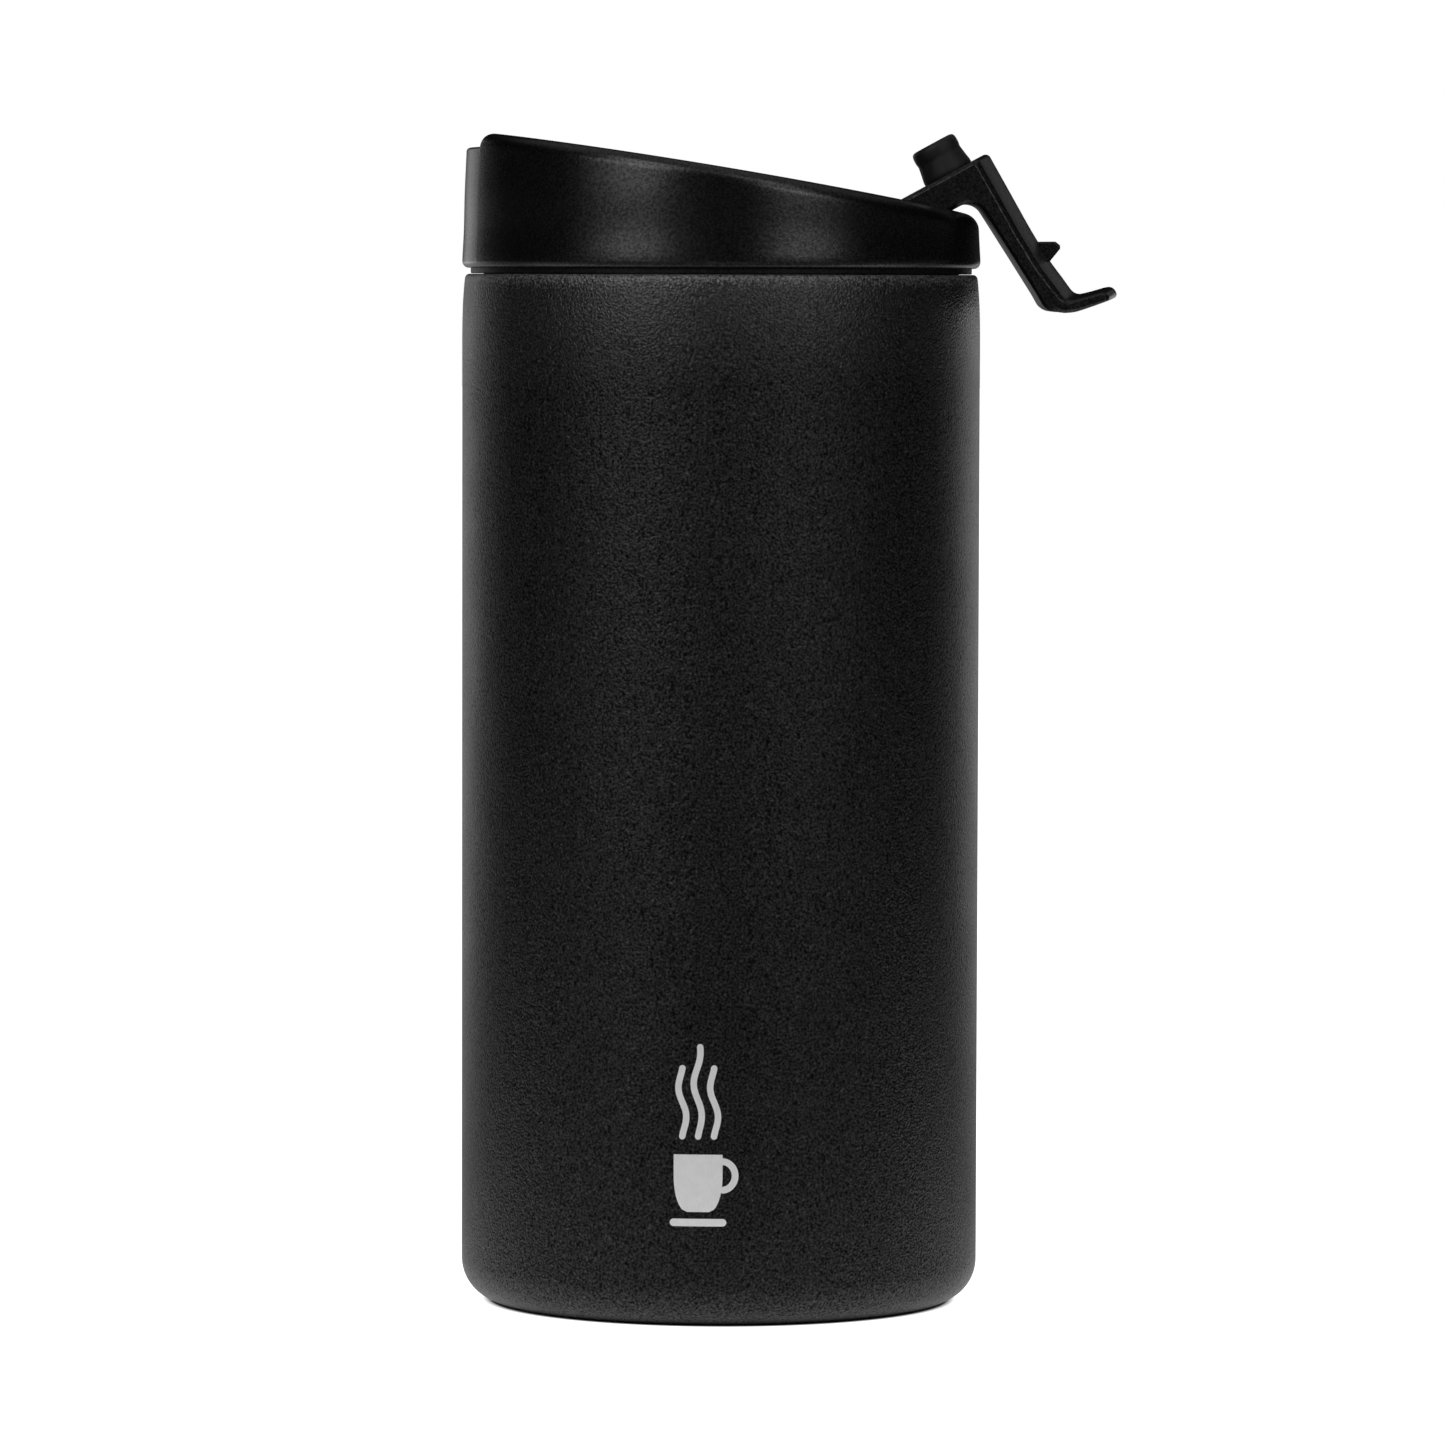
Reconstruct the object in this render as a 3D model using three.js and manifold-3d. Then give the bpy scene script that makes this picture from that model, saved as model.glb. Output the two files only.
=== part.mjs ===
// Insulated travel mug: a double-walled steel tumbler, a press-in lid with a slanted rim, and a
// flip lever that carries the drinking stopper. The lever is shown folded open.
// Millimetres, +Z up. The origin is the centre of the base, on the surface that the mug stands on.
// -X is the drinking side, where the rim is highest; the lever folds out over +X.

import * as THREE from 'three';
import { mergeVertices } from 'three/addons/utils/BufferGeometryUtils.js';
import Module from 'manifold-3d';

const wasm = await Module();
wasm.setup();

// ---------------------------------------------------------------- driving dimensions

const ROUND_STEPS = 60; // facets round the cup and the lid
const SMALL_STEPS = 24; // facets round pins, posts and other small turned pieces

// cup
const CUP_RADIUS = 35.0; // outside, at the mouth
const CUP_FOOT_RADIUS = 34.93; // outside, where the foot's corner starts
const CUP_HEIGHT = 139.0;
const CUP_CORNER = 5.6; // radius between wall and foot
const SHELL_WALL = 0.6;
const LINER_WALL = 0.5;
const LIP_ROUND = 0.6;
const LIP_INNER = 33.8; // the shell's rolled lip ends here, round the liner's lip
const FOOT_INNER = 27.5; // hole in the foot, closed by the vacuum base
const FOOT_UPSTAND = 2.6; // height of the shell's turned-up edge round that hole
const MOUTH_RADIUS = 32.45; // bore that the lid's skirt goes into
const CHAMBER_RADIUS = 30.8; // bore below the shoulder
const CHAMBER_FLOOR = 9.0;
const CHAMBER_CORNER = 6.0;
const SHOULDER_Z = 126.8;
const SHOULDER_STEP = MOUTH_RADIUS - CHAMBER_RADIUS;

// lid
const LID_SEAM = 0.8; // open seam between the cup's rim and the lid
const LID_BOTTOM = CUP_HEIGHT + LID_SEAM;
const LID_RADIUS = 35.0;
const LID_TOP_RADIUS = 34.45; // the outside wall leans in towards the top
const LID_BLANK_TOP = 160.0; // where the walls end before the slanted rim is cut
const CUT_OUTSIDE = 40.0; // cutting shapes reach this far from the axis, past the lid's wall
const CUT_ABOVE = 170.0; // and this high
const CUT_INSIDE = 29.0; // and those for the wall reach this far in
const LID_WALL = 1.7;
const RIM_MID_Z = 153.16; // height of the slanted rim over the axis
const RIM_FALL = 0.1642; // its fall for each millimetre of X, 9.3 degrees
const RIM_DOME = 0.00046; // further fall for each square millimetre of X, which bows it slightly
const RIM_FILLET = 1.9;
const RIM_SKIN = 2.2; // material left under the rim, over the cored channel
const BASIN_RADIUS = 30.6; // at the floor; the basin opens out upwards
const BASIN_DRAFT = 0.041; // growth of that radius for each millimetre of height
const BASIN_FLOOR = 132.6;
const BASIN_FLOOR_THICKNESS = 2.2;
const PLUG_JOINT_Z = 140.0; // the lid shell sits on the lid plug's flange here
const FLANGE_RADIUS = 33.2;
const SKIRT_RADIUS = 32.0;
const SKIRT_INNER = 30.0;
const SKIRT_BOTTOM = 127.2;
const GROOVE_RADIUS = 31.0;
const GROOVE_BOTTOM = 129.2;
const GROOVE_TOP = 131.8;
const NOTCH_HALF_WIDTH = 11.8; // seat for the thumb tab in the front of the rim
const NOTCH_FLOOR = 155.96;
const CATCH_HALF_WIDTH = 5.2; // pocket for the lever's snap catch
const CATCH_DEPTH_X = -33.1;
const CATCH_BOTTOM = 146.6;
const CATCH_TOP = 153.6;
const DRINK_X = -23.95; // centre of the drinking hole
const DRINK_HALF_WIDTH = 3.9;
const DRINK_HALF_STRAIGHT = 3.5; // half the straight length along Y, between the round ends
const DRINK_COLLAR = 1.2;
const DRINK_COLLAR_BOTTOM = 127.8;
const VENT_X = -6.2;
const VENT_RECESS_RADIUS = 2.6;
const VENT_RECESS_DEPTH = 0.9;
const VENT_HOLE_RADIUS = 0.8;

// lever, drawn closed and measured from the hinge axis
const HINGE = new THREE.Vector3(5.8, 0, 136.0);
const OPEN_ANGLE = THREE.MathUtils.degToRad(151.4); // from closed to folded open
const LEVER_HALF_WIDTH = 11.0;
const LEVER_BEVEL = 0.6;
const BARREL_RADIUS = 3.0;
const ARM_UNDERSIDE = -2.7;
const ARM_TOP = 1.8;
const ARM_BACK = -31.3; // back face of the upright arm
const ARM_FILLET = 2.4; // in the inner corner of the L
const PIN_RADIUS = 1.0;
const PIN_HALF_LENGTH = 13.5;
const EAR_INNER = 11.35;
const EAR_OUTER = 13.4;
const EAR_RADIUS = 2.8;
const TAB_RADIUS = 36.25; // the thumb tab's end is round about the lid's axis
const TURNED_GAP = 0.2; // between pieces that rest on each other in the turned lever
const SEAT_GAP = 0.25; // between the folded-open lever and its seat in the rear of the rim

// ---------------------------------------------------------------- shape helpers

/** A point of an outline. */
const at = (x, y) => new THREE.Vector2(x, y);

/** Points of a circular arc round (cx, cy), from one angle to another in degrees. */
function arc(cx, cy, radius, fromDegrees, toDegrees, steps) {
  const points = [];
  for (let i = 0; i <= steps; i++) {
    const angle = THREE.MathUtils.degToRad(fromDegrees + ((toDegrees - fromDegrees) * i) / steps);
    points.push(at(cx + radius * Math.cos(angle), cy + radius * Math.sin(angle)));
  }
  return points;
}

/** Turns a radius-height profile round the Z axis; a ring's profile is closed on itself. */
function turned(profile, steps = ROUND_STEPS) {
  const onAxis = profile[0].x === 0;
  const points = onAxis ? profile : [...profile, profile[0].clone()];
  return new THREE.LatheGeometry(points, steps).rotateX(Math.PI / 2);
}

/** Extrudes an outline drawn in X and Z to both sides of the XZ plane. */
function slab(outline, halfWidth, bevel = 0) {
  const geometry = new THREE.ExtrudeGeometry(new THREE.Shape(outline), {
    depth: 2 * (halfWidth - bevel),
    bevelEnabled: bevel > 0,
    bevelThickness: bevel,
    bevelSize: bevel,
    bevelOffset: -bevel,
    bevelSegments: 2,
    curveSegments: 8,
  });
  return geometry.rotateX(Math.PI / 2).translate(0, halfWidth - bevel, 0);
}

/** A box given by its lowest and highest corner. */
function block(x0, y0, z0, x1, y1, z1) {
  const geometry = new THREE.BoxGeometry(x1 - x0, y1 - y0, z1 - z0);
  return geometry.translate((x0 + x1) / 2, (y0 + y1) / 2, (z0 + z1) / 2);
}

/** A rod along Y. */
function rodAlongY(radius, halfLength, steps = SMALL_STEPS) {
  return new THREE.CylinderGeometry(radius, radius, 2 * halfLength, steps);
}

/** Makes a closed geometry a solid that can be joined and cut. */
function solid(geometry) {
  const bare = geometry.clone();
  bare.deleteAttribute('normal');
  bare.deleteAttribute('uv');
  const merged = mergeVertices(bare, 1e-4);
  const corners = [];
  const index = merged.index.array;
  for (let i = 0; i < index.length; i += 3) {
    const [a, b, c] = [index[i], index[i + 1], index[i + 2]];
    if (a !== b && b !== c && c !== a) corners.push(a, b, c);
  }
  return new wasm.Manifold(new wasm.Mesh({
    numProp: 3,
    vertProperties: new Float32Array(merged.attributes.position.array),
    triVerts: new Uint32Array(corners),
  }));
}

/** The flat-shaded geometry of a solid. */
function surface(body) {
  const mesh = body.getMesh();
  const geometry = new THREE.BufferGeometry();
  geometry.setAttribute('position', new THREE.BufferAttribute(mesh.vertProperties, 3));
  geometry.setIndex(new THREE.BufferAttribute(mesh.triVerts, 1));
  geometry.computeVertexNormals();
  return geometry;
}

/** Inside radius of the basin at a height. */
const basinRadius = (z) => BASIN_RADIUS + BASIN_DRAFT * (z - BASIN_FLOOR);

/** Moves a geometry drawn on the closed lever to where the open lever holds it. */
const opened = (geometry) => geometry.rotateY(OPEN_ANGLE).translate(HINGE.x, HINGE.y, HINGE.z);

/** A slot with round ends along Y, sunk from one height to another. */
function slot(centreX, halfWidth, halfStraight, bottom, top) {
  const profile = [at(0, bottom), at(halfWidth, bottom), at(halfWidth, top), at(0, top)];
  const end = turned(profile, SMALL_STEPS);
  const near = solid(end.clone().translate(centreX, -halfStraight, 0));
  const far = solid(end.clone().translate(centreX, halfStraight, 0));
  const [left, right] = [centreX - halfWidth, centreX + halfWidth];
  const middle = solid(block(left, -halfStraight, bottom, right, halfStraight, top));
  return near.add(far).add(middle);
}

// ---------------------------------------------------------------- cup

/** Drawn steel outer wall, with its rolled lip at the mouth and its turned-in foot. */
function outerShell() {
  const cornerRadius = CUP_FOOT_RADIUS - CUP_CORNER;
  const inside = CUP_RADIUS - SHELL_WALL;
  return turned([
    at(FOOT_INNER, 0),
    ...arc(cornerRadius, CUP_CORNER, CUP_CORNER, -90, 0, 5),
    ...arc(CUP_RADIUS - LIP_ROUND, CUP_HEIGHT - LIP_ROUND, LIP_ROUND, 0, 90, 3),
    at(LIP_INNER, CUP_HEIGHT),
    at(LIP_INNER, CUP_HEIGHT - SHELL_WALL),
    at(inside, CUP_HEIGHT - SHELL_WALL - 0.3),
    ...arc(cornerRadius, CUP_CORNER, CUP_CORNER - SHELL_WALL, 0, -90, 3),
    at(FOOT_INNER + SHELL_WALL, SHELL_WALL),
    at(FOOT_INNER + SHELL_WALL, FOOT_UPSTAND),
    at(FOOT_INNER, FOOT_UPSTAND),
  ]);
}

/** Inner cup that holds the drink, with a wider mouth for the lid's skirt. */
function innerLiner() {
  const lipRadius = LIP_INNER - 0.1;
  const lipThickness = 0.7;
  const cornerX = CHAMBER_RADIUS + LINER_WALL - CHAMBER_CORNER;
  const cornerZ = CHAMBER_FLOOR - LINER_WALL + CHAMBER_CORNER;
  return turned([
    at(0, CHAMBER_FLOOR - LINER_WALL),
    ...arc(cornerX, cornerZ, CHAMBER_CORNER, -90, 0, 4),
    at(CHAMBER_RADIUS + LINER_WALL, SHOULDER_Z - SHOULDER_STEP - 0.2),
    at(MOUTH_RADIUS + LINER_WALL, SHOULDER_Z - 0.2),
    at(MOUTH_RADIUS + LINER_WALL, CUP_HEIGHT - lipThickness),
    at(lipRadius, CUP_HEIGHT - lipThickness),
    at(lipRadius, CUP_HEIGHT),
    at(MOUTH_RADIUS + 0.25, CUP_HEIGHT),
    at(MOUTH_RADIUS, CUP_HEIGHT - 0.25),
    at(MOUTH_RADIUS, SHOULDER_Z),
    at(CHAMBER_RADIUS, SHOULDER_Z - SHOULDER_STEP),
    ...arc(cornerX, cornerZ, CHAMBER_CORNER - LINER_WALL, 0, -90, 4),
    at(0, CHAMBER_FLOOR),
  ]);
}

/** Foil heat shield wound round the liner, inside the vacuum gap. */
function linerFoil() {
  const inner = CHAMBER_RADIUS + LINER_WALL + 0.1;
  const outer = inner + 0.2;
  return turned([at(inner, 16), at(outer, 16), at(outer, 123), at(inner, 123)]);
}

/** Getter pill, welded under the liner, that keeps the vacuum. */
function getterCapsule() {
  const top = CHAMBER_FLOOR - LINER_WALL - 0.05;
  const bottom = top - 1.5;
  return turned([at(0, bottom), at(3.6, bottom), at(4, bottom + 0.4), at(4, top), at(0, top)], SMALL_STEPS);
}

/** Pressed disc that closes the vacuum, with a dimple and the pump-out hole in the middle. */
function vacuumBase() {
  const rim = FOOT_INNER - 0.05;
  const wall = 0.6;
  return turned([
    at(1.2, 2.2),
    at(4.0, 2.2),
    at(6.0, 3.0),
    at(rim - wall, 3.0),
    at(rim - wall, 1.2),
    at(rim, 1.2),
    at(rim, 3.0 + wall),
    at(5.8, 3.0 + wall),
    at(3.8, 2.2 + wall),
    at(1.2, 2.2 + wall),
  ], 40);
}

/** Bead that seals the pump-out hole. */
function sealBead() {
  return turned([at(0, 1.3), at(1.3, 1.5), at(1.95, 2.1), at(1.1, 2.1), at(1.1, 2.7), at(0, 2.7)], 16);
}

/** Plate bonded into the foot; the mug stands on it and on the shell's foot ring. */
function baseCap() {
  const radius = FOOT_INNER - 0.6;
  return turned([at(0, 0), at(radius - 0.5, 0), at(radius, 0.5), at(radius, 1.0), at(0, 1.0)]);
}

// ---------------------------------------------------------------- lid

/** Height of the slanted rim over a place along X. */
const rimHeight = (x) => RIM_MID_Z - RIM_FALL * x - RIM_DOME * x * x;

/** Makes a solid of a geometry drawn level at height 0, laid along the slanted rim. */
function alongRim(geometry) {
  const position = geometry.attributes.position;
  for (let i = 0; i < position.count; i++) {
    position.setZ(i, position.getZ(i) + rimHeight(position.getX(i)));
  }
  return solid(geometry);
}

/** Everything under the slanted rim, with the rim's outer edge rounded. */
function rimEnvelope() {
  const radius = (LID_RADIUS + LID_TOP_RADIUS) / 2;
  const edge = arc(radius - RIM_FILLET, -RIM_FILLET, RIM_FILLET, 0, 90, 4);
  return alongRim(turned([
    at(0, -CUT_OUTSIDE),
    at(radius + 1.5, -CUT_OUTSIDE),
    at(radius + 0.3, -8),
    ...edge,
    at(BASIN_RADIUS, 0),
    at(0, 0),
  ]));
}

/** Outside wall, slanted rim and upper basin wall, with the notch, catch pocket and lever seat. */
function lidShell() {
  const wall = solid(turned([
    at(basinRadius(LID_BOTTOM), LID_BOTTOM),
    at(LID_RADIUS - 1.0, LID_BOTTOM),
    at(LID_RADIUS - 0.3, LID_BOTTOM + 0.35),
    at(LID_RADIUS, LID_BOTTOM + 1.1),
    at(LID_TOP_RADIUS, LID_BLANK_TOP),
    at(basinRadius(LID_BLANK_TOP), LID_BLANK_TOP),
  ]));
  const flangeSeat = solid(turned([
    at(CUT_INSIDE, LID_BOTTOM - 1),
    at(LID_RADIUS - LID_WALL, LID_BOTTOM - 1),
    at(LID_RADIUS - LID_WALL, PLUG_JOINT_Z),
    at(CUT_INSIDE, PLUG_JOINT_Z),
  ]));
  const channelInner = basinRadius(PLUG_JOINT_Z) + 1.4;
  const channelOuter = LID_RADIUS - LID_WALL;
  const channelRing = solid(turned([
    at(channelInner, PLUG_JOINT_Z - 1),
    at(channelOuter, PLUG_JOINT_Z - 1),
    at(channelOuter, LID_BLANK_TOP),
    at(channelInner, LID_BLANK_TOP),
  ]));
  const underRim = alongRim(turned([
    at(0, -CUT_OUTSIDE),
    at(LID_RADIUS, -CUT_OUTSIDE),
    at(LID_RADIUS, -RIM_SKIN),
    at(BASIN_RADIUS, -RIM_SKIN),
    at(0, -RIM_SKIN),
  ]));
  const bossHalfWidth = NOTCH_HALF_WIDTH + 2; // the wall is solid round the notch and the pocket
  const frontBoss = solid(block(
    -CUT_OUTSIDE, -bossHalfWidth, BASIN_FLOOR, -10, bossHalfWidth, CUT_ABOVE));
  const channel = channelRing.intersect(underRim).subtract(frontBoss);
  const notch = solid(block(
    -CUT_OUTSIDE, -NOTCH_HALF_WIDTH, NOTCH_FLOOR, -CUT_INSIDE, NOTCH_HALF_WIDTH, CUT_ABOVE));
  const catchPocket = solid(block(
    CATCH_DEPTH_X, -CATCH_HALF_WIDTH, CATCH_BOTTOM, -CUT_INSIDE, CATCH_HALF_WIDTH, CATCH_TOP));
  const seatHalfWidth = LEVER_HALF_WIDTH + 0.5;
  const leverSeat = solid(opened(block(
    ARM_BACK - 2.7, -seatHalfWidth, -8, 0, seatHalfWidth, ARM_TOP + SEAT_GAP)));
  const shell = wall.intersect(rimEnvelope()).subtract(flangeSeat).subtract(channel);
  return surface(shell.subtract(notch).subtract(catchPocket).subtract(leverSeat));
}

/** Basin floor, drinking hole, vent, hinge ears, flange and the skirt that goes into the cup. */
function lidPlug() {
  const body = solid(turned([
    at(0, BASIN_FLOOR - BASIN_FLOOR_THICKNESS),
    at(SKIRT_INNER, BASIN_FLOOR - BASIN_FLOOR_THICKNESS),
    at(SKIRT_INNER, SKIRT_BOTTOM),
    at(SKIRT_RADIUS - 0.5, SKIRT_BOTTOM),
    at(SKIRT_RADIUS, SKIRT_BOTTOM + 0.6),
    at(SKIRT_RADIUS, GROOVE_BOTTOM),
    at(GROOVE_RADIUS, GROOVE_BOTTOM),
    at(GROOVE_RADIUS, GROOVE_TOP),
    at(SKIRT_RADIUS, GROOVE_TOP),
    at(SKIRT_RADIUS, CUP_HEIGHT + 0.05),
    at(FLANGE_RADIUS, CUP_HEIGHT + 0.05),
    at(FLANGE_RADIUS, PLUG_JOINT_Z - 0.05),
    at(basinRadius(PLUG_JOINT_Z), PLUG_JOINT_Z - 0.05),
    at(BASIN_RADIUS, BASIN_FLOOR),
    at(0, BASIN_FLOOR),
  ]));
  const collar = slot(
    DRINK_X, DRINK_HALF_WIDTH + DRINK_COLLAR, DRINK_HALF_STRAIGHT, DRINK_COLLAR_BOTTOM, BASIN_FLOOR);
  const drinkHole = slot(
    DRINK_X, DRINK_HALF_WIDTH, DRINK_HALF_STRAIGHT, SKIRT_BOTTOM - 5, BASIN_FLOOR + 5);
  const vent = solid(turned([
    at(0, BASIN_FLOOR - 5),
    at(VENT_HOLE_RADIUS, BASIN_FLOOR - 5),
    at(VENT_HOLE_RADIUS, BASIN_FLOOR - VENT_RECESS_DEPTH),
    at(VENT_RECESS_RADIUS, BASIN_FLOOR - VENT_RECESS_DEPTH),
    at(VENT_RECESS_RADIUS, BASIN_FLOOR + 1),
    at(0, BASIN_FLOOR + 1),
  ], SMALL_STEPS).translate(VENT_X, 0, 0));
  let plug = body.add(collar).subtract(drinkHole).subtract(vent);
  for (const side of [-1, 1]) plug = plug.add(hingeEar(side));
  const pinBore = solid(rodAlongY(PIN_RADIUS + 0.06, 20).translate(HINGE.x, 0, HINGE.z));
  return surface(plug.subtract(pinBore));
}

/** One of the two lugs that hold the hinge pin, standing on the basin floor. */
function hingeEar(side) {
  const foot = EAR_RADIUS + 0.6;
  const sunk = BASIN_FLOOR - 0.6 - HINGE.z;
  const outline = [at(-foot, sunk), at(foot, sunk), ...arc(0, 0, EAR_RADIUS, 0, 180, 8)];
  const middle = (side * (EAR_INNER + EAR_OUTER)) / 2;
  return solid(slab(outline, (EAR_OUTER - EAR_INNER) / 2).translate(HINGE.x, middle, HINGE.z));
}

/** Silicone ring with two lips that seals the skirt in the cup's mouth. */
function lidGasket() {
  const inner = GROOVE_RADIUS + 0.05;
  const waist = SKIRT_RADIUS - 0.05;
  const lip = MOUTH_RADIUS - 0.1;
  return turned([
    at(inner, GROOVE_BOTTOM + 0.15),
    at(waist, GROOVE_BOTTOM + 0.15),
    at(lip, GROOVE_BOTTOM + 0.5),
    at(waist, GROOVE_BOTTOM + 1.0),
    at(waist, GROOVE_BOTTOM + 1.5),
    at(lip, GROOVE_BOTTOM + 1.9),
    at(waist, GROOVE_TOP - 0.15),
    at(inner, GROOVE_TOP - 0.15),
  ]);
}

// ---------------------------------------------------------------- lever

/** Height and place of a point of the closed lever, counted from the hinge axis. */
const fromHinge = (x, z) => at(x - HINGE.x, z - HINGE.z);

/** Space that the closed lever fills towards the lid's wall: front face, thumb tab's underside and end. */
function frontEnvelope() {
  const profile = [
    at(0, 125),
    at(29.2, 125),
    at(29.2, 133.3),
    at(29.75, 133.45),
    at(30.0, 134.0),
    at(30.15, 145),
    at(30.4, 150),
    at(31.0, 155.2),
    at(31.4, 155.9),
    at(35.6, 157.15),
    at(TAB_RADIUS, 157.6),
    at(TAB_RADIUS + 0.05, 158.2),
    at(TAB_RADIUS - 0.6, 159),
    at(0, 159),
  ];
  return solid(turned(profile).translate(-HINGE.x, 0, -HINGE.z));
}

/** L-shaped arm: hinge barrel, level arm, upright arm, thumb tab, snap catch and stopper post. */
function leverArm() {
  const front = -TAB_RADIUS - HINGE.x - 6; // cut back by the front envelope
  const arms = [
    at(front, ARM_UNDERSIDE),
    at(-1.5, ARM_UNDERSIDE),
    ...arc(0, 0, BARREL_RADIUS, -115, 140, 10),
    at(-4.5, ARM_TOP),
    ...arc(ARM_BACK + ARM_FILLET, ARM_TOP + ARM_FILLET, ARM_FILLET, -90, -180, 4),
    fromHinge(-25.8, 144.6),
    fromHinge(-26.4, 153.5),
    ...arc(-28.7 - HINGE.x, 154.4 - HINGE.z, 2.3, 20, 60, 3),
    fromHinge(-30.0, 157.66),
    fromHinge(-38.0, 159.0),
    at(front, 159.0 - HINGE.z),
  ];
  const snapCatch = [
    fromHinge(-29.2, 147.1),
    fromHinge(-29.2, 150.5),
    fromHinge(-30.2, 150.17),
    fromHinge(-32.35, 149.3),
    fromHinge(-32.52, 148.95),
    fromHinge(-32.3, 148.5),
    fromHinge(-29.95, 147.3),
  ];
  const post = new THREE.CylinderGeometry(1.3, 1.3, 3.6, SMALL_STEPS).rotateX(Math.PI / 2);
  post.translate(DRINK_X - HINGE.x, 0, ARM_UNDERSIDE - 1.3);
  const web = solid(slab(arms, LEVER_HALF_WIDTH, LEVER_BEVEL)).intersect(frontEnvelope());
  const bore = solid(rodAlongY(PIN_RADIUS + 0.12, 20));
  return surface(web.add(solid(slab(snapCatch, 4.6))).add(solid(post)).subtract(bore));
}

/** Silicone stopper with round ends, pushed over the arm's post. */
function drinkStopper() {
  const top = ARM_UNDERSIDE - TURNED_GAP;
  const socket = solid(turned([at(0, -6.3), at(1.55, -6.3), at(1.55, 0), at(0, 0)], SMALL_STEPS));
  const profile = [
    at(0, ARM_UNDERSIDE - 4.65),
    at(2.4, ARM_UNDERSIDE - 4.65),
    at(3.1, ARM_UNDERSIDE - 4.0),
    at(3.15, ARM_UNDERSIDE - 3.2),
    at(3.05, ARM_UNDERSIDE - 2.6),
    at(3.45, top),
    at(0, top),
  ];
  const side = [...profile.slice(1, -1), ...profile.slice(1, -1).reverse().map((p) => at(-p.x, p.y))];
  const end = turned(profile, SMALL_STEPS);
  const near = solid(end.clone().translate(0, -DRINK_HALF_STRAIGHT, 0));
  const far = solid(end.clone().translate(0, DRINK_HALF_STRAIGHT, 0));
  const stopper = near.add(far).add(solid(slab(side, DRINK_HALF_STRAIGHT))).subtract(socket);
  return surface(stopper).translate(DRINK_X - HINGE.x, 0, 0);
}

/** Small silicone button that covers the vent when the lever is closed. */
function ventPlug() {
  const top = ARM_UNDERSIDE - TURNED_GAP;
  const profile = [at(0, top - 0.9), at(1.5, top - 0.9), at(1.9, top - 0.5), at(1.9, top), at(0, top)];
  return turned(profile, SMALL_STEPS).translate(VENT_X - HINGE.x, 0, 0);
}

// ---------------------------------------------------------------- assembly

/** A named piece with its own finish. */
function piece(name, geometry, color, roughness, metalness = 0) {
  const material = new THREE.MeshStandardMaterial({ color, roughness, metalness });
  const mesh = new THREE.Mesh(geometry, material);
  mesh.name = name;
  return mesh;
}

const cup = new THREE.Group();
cup.add(
  piece('outer_shell', outerShell(), 0x1d1d1f, 0.55, 0.3),
  piece('inner_liner', innerLiner(), 0xb9bcbf, 0.3, 1),
  piece('liner_foil', linerFoil(), 0xc9a27e, 0.3, 1),
  piece('getter_capsule', getterCapsule(), 0x8d8f92, 0.5, 1),
  piece('vacuum_base', vacuumBase(), 0xa9acb0, 0.35, 1),
  piece('seal_bead', sealBead(), 0x9a9da0, 0.4, 1),
  piece('base_cap', baseCap(), 0x1d1d1f, 0.6),
);

const lid = new THREE.Group();
lid.add(
  piece('lid_shell', lidShell(), 0x121213, 0.4),
  piece('lid_plug', lidPlug(), 0x151516, 0.45),
  piece('lid_gasket', lidGasket(), 0x2a2a2c, 0.7),
);
const pin = piece('hinge_pin', rodAlongY(PIN_RADIUS, PIN_HALF_LENGTH), 0xb4b7ba, 0.25, 1);
pin.position.copy(HINGE);
lid.add(pin);

const lever = new THREE.Group();
lever.position.copy(HINGE);
lever.rotation.y = OPEN_ANGLE;
lever.add(
  piece('lever_arm', leverArm(), 0x161617, 0.45),
  piece('drink_stopper', drinkStopper(), 0x1c1c1e, 0.75),
  piece('vent_plug', ventPlug(), 0x1c1c1e, 0.75),
);

const mug = new THREE.Group();
mug.add(cup, lid, lever);

export default mug;
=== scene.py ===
"""Insulated travel mug: the visual model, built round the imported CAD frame.

Shapes are drawn in millimetres in the part's own frame and scaled to metres when they are finished.
The lever's pieces are drawn closed, then turned about the hinge to where the open lever holds them.
-X is the drinking side, where the rim is highest; the lever folds out over +X.
"""
import math

import bmesh
import bpy
from mathutils import Matrix, Vector


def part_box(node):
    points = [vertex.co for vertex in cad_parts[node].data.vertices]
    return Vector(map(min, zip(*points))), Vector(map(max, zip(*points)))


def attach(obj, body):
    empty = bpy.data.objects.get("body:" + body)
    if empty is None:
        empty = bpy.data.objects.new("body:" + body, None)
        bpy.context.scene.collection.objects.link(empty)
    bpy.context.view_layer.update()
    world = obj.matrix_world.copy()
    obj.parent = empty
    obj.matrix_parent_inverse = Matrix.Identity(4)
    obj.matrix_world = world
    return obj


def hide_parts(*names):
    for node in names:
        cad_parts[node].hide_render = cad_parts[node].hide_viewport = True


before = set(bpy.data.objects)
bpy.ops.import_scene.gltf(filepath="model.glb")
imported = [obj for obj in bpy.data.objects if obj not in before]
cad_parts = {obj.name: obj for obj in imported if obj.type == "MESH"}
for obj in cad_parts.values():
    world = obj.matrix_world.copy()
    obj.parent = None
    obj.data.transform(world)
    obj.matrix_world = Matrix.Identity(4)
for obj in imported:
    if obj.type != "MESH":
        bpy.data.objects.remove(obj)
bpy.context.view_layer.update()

MM = 0.001

# ------------------------------------------------------------------ dimensions, in millimetres

ROUND_STEPS = 256  # columns round the cup's wall
HIDDEN_STEPS = 192  # columns round the liner, the base plate, the plug and the gasket
SMALL_STEPS = 64  # columns round the vent, the drinking hole and the stopper
PIN_STEPS = 48  # columns round the pin and the vent's button
BORE_STEPS = 32  # columns round the bores and the stopper's post

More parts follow.
